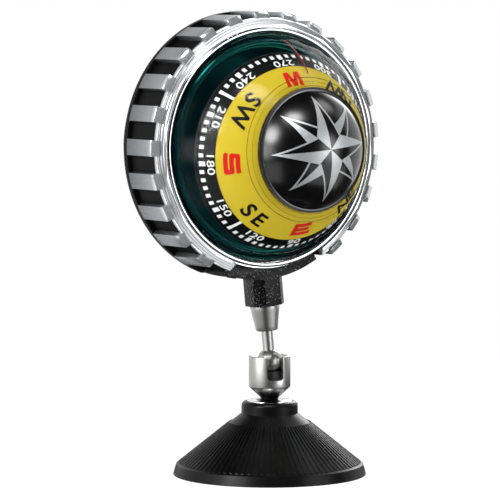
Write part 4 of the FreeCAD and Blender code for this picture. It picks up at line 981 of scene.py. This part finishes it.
def bowl_lip(finish):
    """The bowl's rounded edge, which slopes out to the bezel, and the step inside it."""
    profile = [LIP_FOOT]
    for radius, height, bead, first, last in LIP_CURVES:
        for step in range(LIP_STEPS + 1):
            angle = math.radians(first + (last - first) * step / LIP_STEPS)
            profile.append((radius + bead * math.cos(angle), height + bead * math.sin(angle)))
    profile.append((profile[-1][0], LIP_FOOT[1]))
    lip = new_object("bowl_lip", turned("bowl_lip", profile), finish)
    put(lip, DIAL, "head")


def step_corners(finish):
    """The rounded corners of the clear step round the cap, as thin dark rings: painted shade."""
    rings = []
    turns = [2 * math.pi * step / CORNER_SIDES for step in range(CORNER_SIDES)]
    for radius, rise, size in STEP_CORNERS:
        middle = math.sqrt(DOME_RADIUS**2 - radius**2) - DOME_SETBACK + rise
        section = [(radius + size * math.cos(a), middle + size * math.sin(a)) for a in turns]
        rings.append(turned("step_corner", section))
    put(joined("step_corners", rings, finish), DIAL, "head")


# What the solids already are, given their finish


def dress(finishes):
    """Gives each solid that stays as it is its finish."""
    for node, finish in finishes.items():
        mesh = frame["nodes"][node].data
        mesh.materials.clear()
        mesh.materials.append(finish)


def eased_pieces(finishes):
    """Visible hard pieces, with the small roundings that plating and moulding leave. Each has
    its finish, the width of its roundings, its body and its slot; the slot is not used."""
    for node, (finish, bevel, body, slot) in finishes.items():
        item = eased_copy(node, finish, bevel)
        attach(item, body)
        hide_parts(node)


# Studio


def seen_straight(tree):
    """1 where the eye, a mirror or glass looks, and 0 where light falls on a surface."""
    path = add(tree, "ShaderNodeLightPath")
    seen = {0: path["Is Camera Ray"], 1: path["Is Glossy Ray"]}
    seen = add(tree, "ShaderNodeMath", seen, operation="MAXIMUM")[0]
    seen = {0: seen, 1: path["Is Transmission Ray"]}
    return add(tree, "ShaderNodeMath", seen, operation="MAXIMUM")[0]


def white_studio():
    """A white world for the eye, for mirrors and for glass, and a softer one for surfaces."""
    world = bpy.data.worlds.new("studio")
    bpy.context.scene.world = world
    world.use_nodes = True
    tree = world.node_tree
    tree.nodes.clear()
    backdrop = {"Color": linear("#ffffff"), "Strength": 1.0}
    backdrop = add(tree, "ShaderNodeBackground", backdrop)[0]
    ambient = {"Color": linear("#f6f7f8"), "Strength": AMBIENT}
    ambient = add(tree, "ShaderNodeBackground", ambient)[0]
    mixed = {0: seen_straight(tree), 1: ambient, 2: backdrop}
    mixed = add(tree, "ShaderNodeMixShader", mixed)[0]
    add(tree, "ShaderNodeOutputWorld", {"Surface": mixed})


def flat_disc(name, radius, height, finish):
    """A disc that lies level and faces up."""
    turns = [2 * math.pi * step / DISC_SIDES for step in range(DISC_SIDES)]
    rim = [(radius * math.cos(turn), radius * math.sin(turn), height) for turn in turns]
    mesh = bpy.data.meshes.new(name)
    mesh.from_pydata(rim, [], [tuple(range(DISC_SIDES))])
    return new_object(name, mesh, finish)


def flat_sector(name, inner, outer, first, last, height, finish):
    """Part of a level ring that faces up."""
    corners = []
    for step in range(FELT_STEPS + 1):
        turn = math.radians(VIEW_AZIMUTH + first + (last - first) * step / FELT_STEPS)
        for across in (inner, outer):
            corners.append((across * math.sin(turn), -across * math.cos(turn), height))
    mesh = bpy.data.meshes.new(name)
    faces = [(2 * s, 2 * s + 1, 2 * s + 3, 2 * s + 2) for s in range(FELT_STEPS)]
    mesh.from_pydata(corners, [], faces)
    return new_object(name, mesh, finish)


def floor():
    """A plain white floor that keeps the object's shadow."""
    made, tree = material("matt_white_floor")
    share = {0: seen_straight(tree), 1: FLOOR_GLOW}
    share = add(tree, "ShaderNodeMath", share, operation="MULTIPLY")[0]
    glow = {"Color": linear("#ffffff"), "Strength": FLOOR_WHITE / FLOOR_GLOW}
    glow = add(tree, "ShaderNodeEmission", glow)[0]
    matt = {"Base Color": linear("#f2f2f2"), "Roughness": 0.9}
    matt = add(tree, "ShaderNodeBsdfPrincipled", matt)[0]
    mixed = add(tree, "ShaderNodeMixShader", {0: share, 1: matt, 2: glow})[0]
    add(tree, "ShaderNodeOutputMaterial", {"Surface": mixed})
    flat_disc("floor", FLOOR_RADIUS, 0.0, made)


def view_axes():
    azimuth = math.radians(VIEW_AZIMUTH)
    elevation = math.radians(VIEW_ELEVATION)
    level = Vector((math.sin(azimuth), -math.cos(azimuth), 0)) * math.cos(elevation)
    back = level + Vector((0, 0, math.sin(elevation)))
    right = Vector((math.cos(azimuth), math.sin(azimuth), 0))
    return right, back.cross(right), back


def camera():
    right, up, back = view_axes()
    data = bpy.data.cameras.new("photo_view")
    data.lens = VIEW_LENS
    data.sensor_width = VIEW_SENSOR
    data.clip_start = 0.05
    data.clip_end = 20
    item = new_object("photo_view", data)
    spot = (right * VIEW_RIGHT + up * VIEW_UP + back * VIEW_DISTANCE) * MM
    item.matrix_world = frame_matrix(right, up, back, spot)
    bpy.context.scene.camera = item


def softbox(name, from_view, elevation, width, height, power):
    """A soft light that fades to its rim and looks at the head."""
    data = bpy.data.lights.new(name, "AREA")
    data.shape = "ELLIPSE"
    data.size = width
    data.size_y = height
    data.energy = power
    data.use_nodes = True
    tree = data.node_tree
    tree.nodes.clear()
    across = add(tree, "ShaderNodeNewGeometry")["Parametric"]
    across = {"Vector": across, "Location": (-1, -1, 0), "Scale": (2, 2, 0)}
    across = add(tree, "ShaderNodeMapping", across)[0]
    inward = add(tree, "ShaderNodeTexGradient", {0: across}, gradient_type="SPHERICAL")["Fac"]
    fade = {0: inward, 1: 0.0, 2: SOFT_RIM, 3: 0.0, 4: SOFT_PEAK}
    fade = add(tree, "ShaderNodeMapRange", fade, interpolation_type="SMOOTHSTEP")[0]
    light = add(tree, "ShaderNodeEmission", {"Strength": fade})[0]
    add(tree, "ShaderNodeOutputLight", {"Surface": light})
    item = new_object(name, data)
    turn = math.radians(VIEW_AZIMUTH + from_view)
    rise = math.radians(elevation)
    level = Vector((math.sin(turn), -math.cos(turn), 0)) * math.cos(rise)
    away = level + Vector((0, 0, math.sin(rise)))
    right = unit(Vector((0, 0, 1)).cross(away))
    spot = LIGHTS_LOOK_AT + away * LIGHT_DISTANCE
    item.matrix_world = frame_matrix(right, away.cross(right), away, spot)


def black_felt():
    """Black felt that only mirrors see: it draws the dark lines in gloss and chromium."""
    made, tree = material("black_felt")
    felt = {"Base Color": linear("#0c0c0c"), "Roughness": 1.0}
    felt = add(tree, "ShaderNodeBsdfPrincipled", felt)[0]
    add(tree, "ShaderNodeOutputMaterial", {"Surface": felt})
    return made


def felt_cards():
    """Felt before the object, above it and on the floor, as a photographer sets it up. Behind
    the object the white backdrop stays open."""
    felt = black_felt()
    cards = [flat_disc("felt_above", FELT_REACH, FELT_TOP, felt)]
    for part in FELT_BELOW:
        cards.append(flat_sector("felt_below", *part, FELT_LIFT, felt))
    half_width = FELT_REACH * math.tan(math.radians(FELT_ANGLE / 2))
    for position in FELT_PLACES:
        turn = math.radians(VIEW_AZIMUTH + position * FELT_ANGLE)
        away = Vector((math.sin(turn), -math.cos(turn), 0)) * FELT_REACH
        right = Vector((math.cos(turn), math.sin(turn), 0)) * half_width
        corners = []
        for side, level in ((-1, FELT_FOOT), (1, FELT_FOOT), (1, FELT_TOP), (-1, FELT_TOP)):
            corners.append(away + right * side + Vector((0, 0, level)))
        mesh = bpy.data.meshes.new("felt")
        mesh.from_pydata(corners, [], [(0, 1, 2, 3)])
        cards.append(new_object(f"felt_before_{position + 3}", mesh, felt))
    for card in cards:
        card.visible_camera = False
        card.visible_diffuse = False
        card.visible_shadow = False
        card.visible_transmission = False


def studio():
    white_studio()
    floor()
    for light in SOFTBOXES:
        softbox(*light)
    felt_cards()


def main():
    white = printing_ink("white_screen_ink", "#eceeed", "#fafbfa")
    red = printing_ink("red_screen_ink", "#c81a12", "#d92318")
    black = printing_ink("black_screen_ink", "#0d0d0e", "#171719")
    grained = moulded_abs(
        "spark_eroded_abs",
        grain=0.5,
        depth=0.1,
        roughness=0.3,
        base_colour="#040405",
        glint_colour="#77777a",
        shine=0.18,
    )
    moulded = moulded_abs(
        "moulded_abs",
        grain=0.5,
        depth=0.01,
        roughness=0.46,
        base_colour="#050506",
        glint_colour="#0c0c0d",
        shine=0.1,
    )
    # the bowl's floor colour is lighter than its top: painted light where the card shades it
    bowl_acrylic = dyed_acrylic(
        "dyed_acrylic_bowl", deep="#0a4a52", high="#03282c", roughness=0.34, shine=0.2
    )
    lip_acrylic = dyed_acrylic(
        "dyed_acrylic_lip", deep="#01161a", high="#022327", roughness=0.11, shine=1.0
    )
    nickel_socket = satin_nickel("satin_nickel_socket", painted_shade_below=CONE_TOP)
    nickel_stem = satin_nickel("satin_nickel_stem", STEM)
    chromium = chromium_plate()
    oxide = worked("black_oxide_steel")
    acetal = worked("black_acetal")
    dress(
        {
            "suction_cup": moulded_rubber(),
            "cup_anchor": worked("zinc_plated_steel"),
            "friction_pad": acetal,
            "ball_stud": nickel_stem,
            "thread_insert": worked("turned_brass"),
            "dome": clear_acrylic(),
            "star_cap": black_acrylic(),
            # painted shade: the trim's chromium drawn darker
            "cap_trim": worked("chromium_painted_shade"),
            "bezel_ring": chromium,
            "dome_seal": worked("nitrile_rubber"),
            "bowl": bowl_acrylic,
            "fill_plug": acetal,
            "diaphragm": worked("nitrile_sheet"),
            "clamp_ring": worked("stamped_steel"),
            "lubber_line": printing_ink("red_enamel", "#6d0a10", "#8c0e16", roughness=0.3),
            "pivot_post": acetal,
            "pivot_pin": worked("hardened_steel"),
            "card": screened_card(),
            "card_plate": worked("black_styrene"),
            "jewel_cup": worked("synthetic_ruby"),
            "card_magnets": worked("nickel_plated_magnet"),
        }
    )
    eased_pieces(
        {
            "flange_disc": (chromium, 0.12, "base", "bright_chrome"),
            "ball_socket": (nickel_socket, 0.1, "base", "satin_nickel"),
            "taper_nut": (nickel_stem, 0.1, "stud", "satin_nickel"),
            "bracket": (grained, 0.18, "head", "black_plastic"),
            "housing": (moulded, 0.15, "head", "black_plastic"),
            "crown_ring": (plated_grip(), 0.12, "head", "satin_chrome"),
            "rear_cover": (moulded, 0.12, "head", "black_plastic"),
            "cover_screws": (oxide, 0.1, "head", "black_steel"),
            "saddle_screws": (oxide, 0.1, "head", "black_steel"),
        }
    )
    step_corners(clear_acrylic_corner())
    bowl_lip(lip_acrylic)
    card_marks(white)
    card_numbers(white)
    card_points(red, black)
    star_inlay(silver_foil())
    studio()
    camera()
    bpy.context.scene.view_settings.view_transform = "Standard"


main()
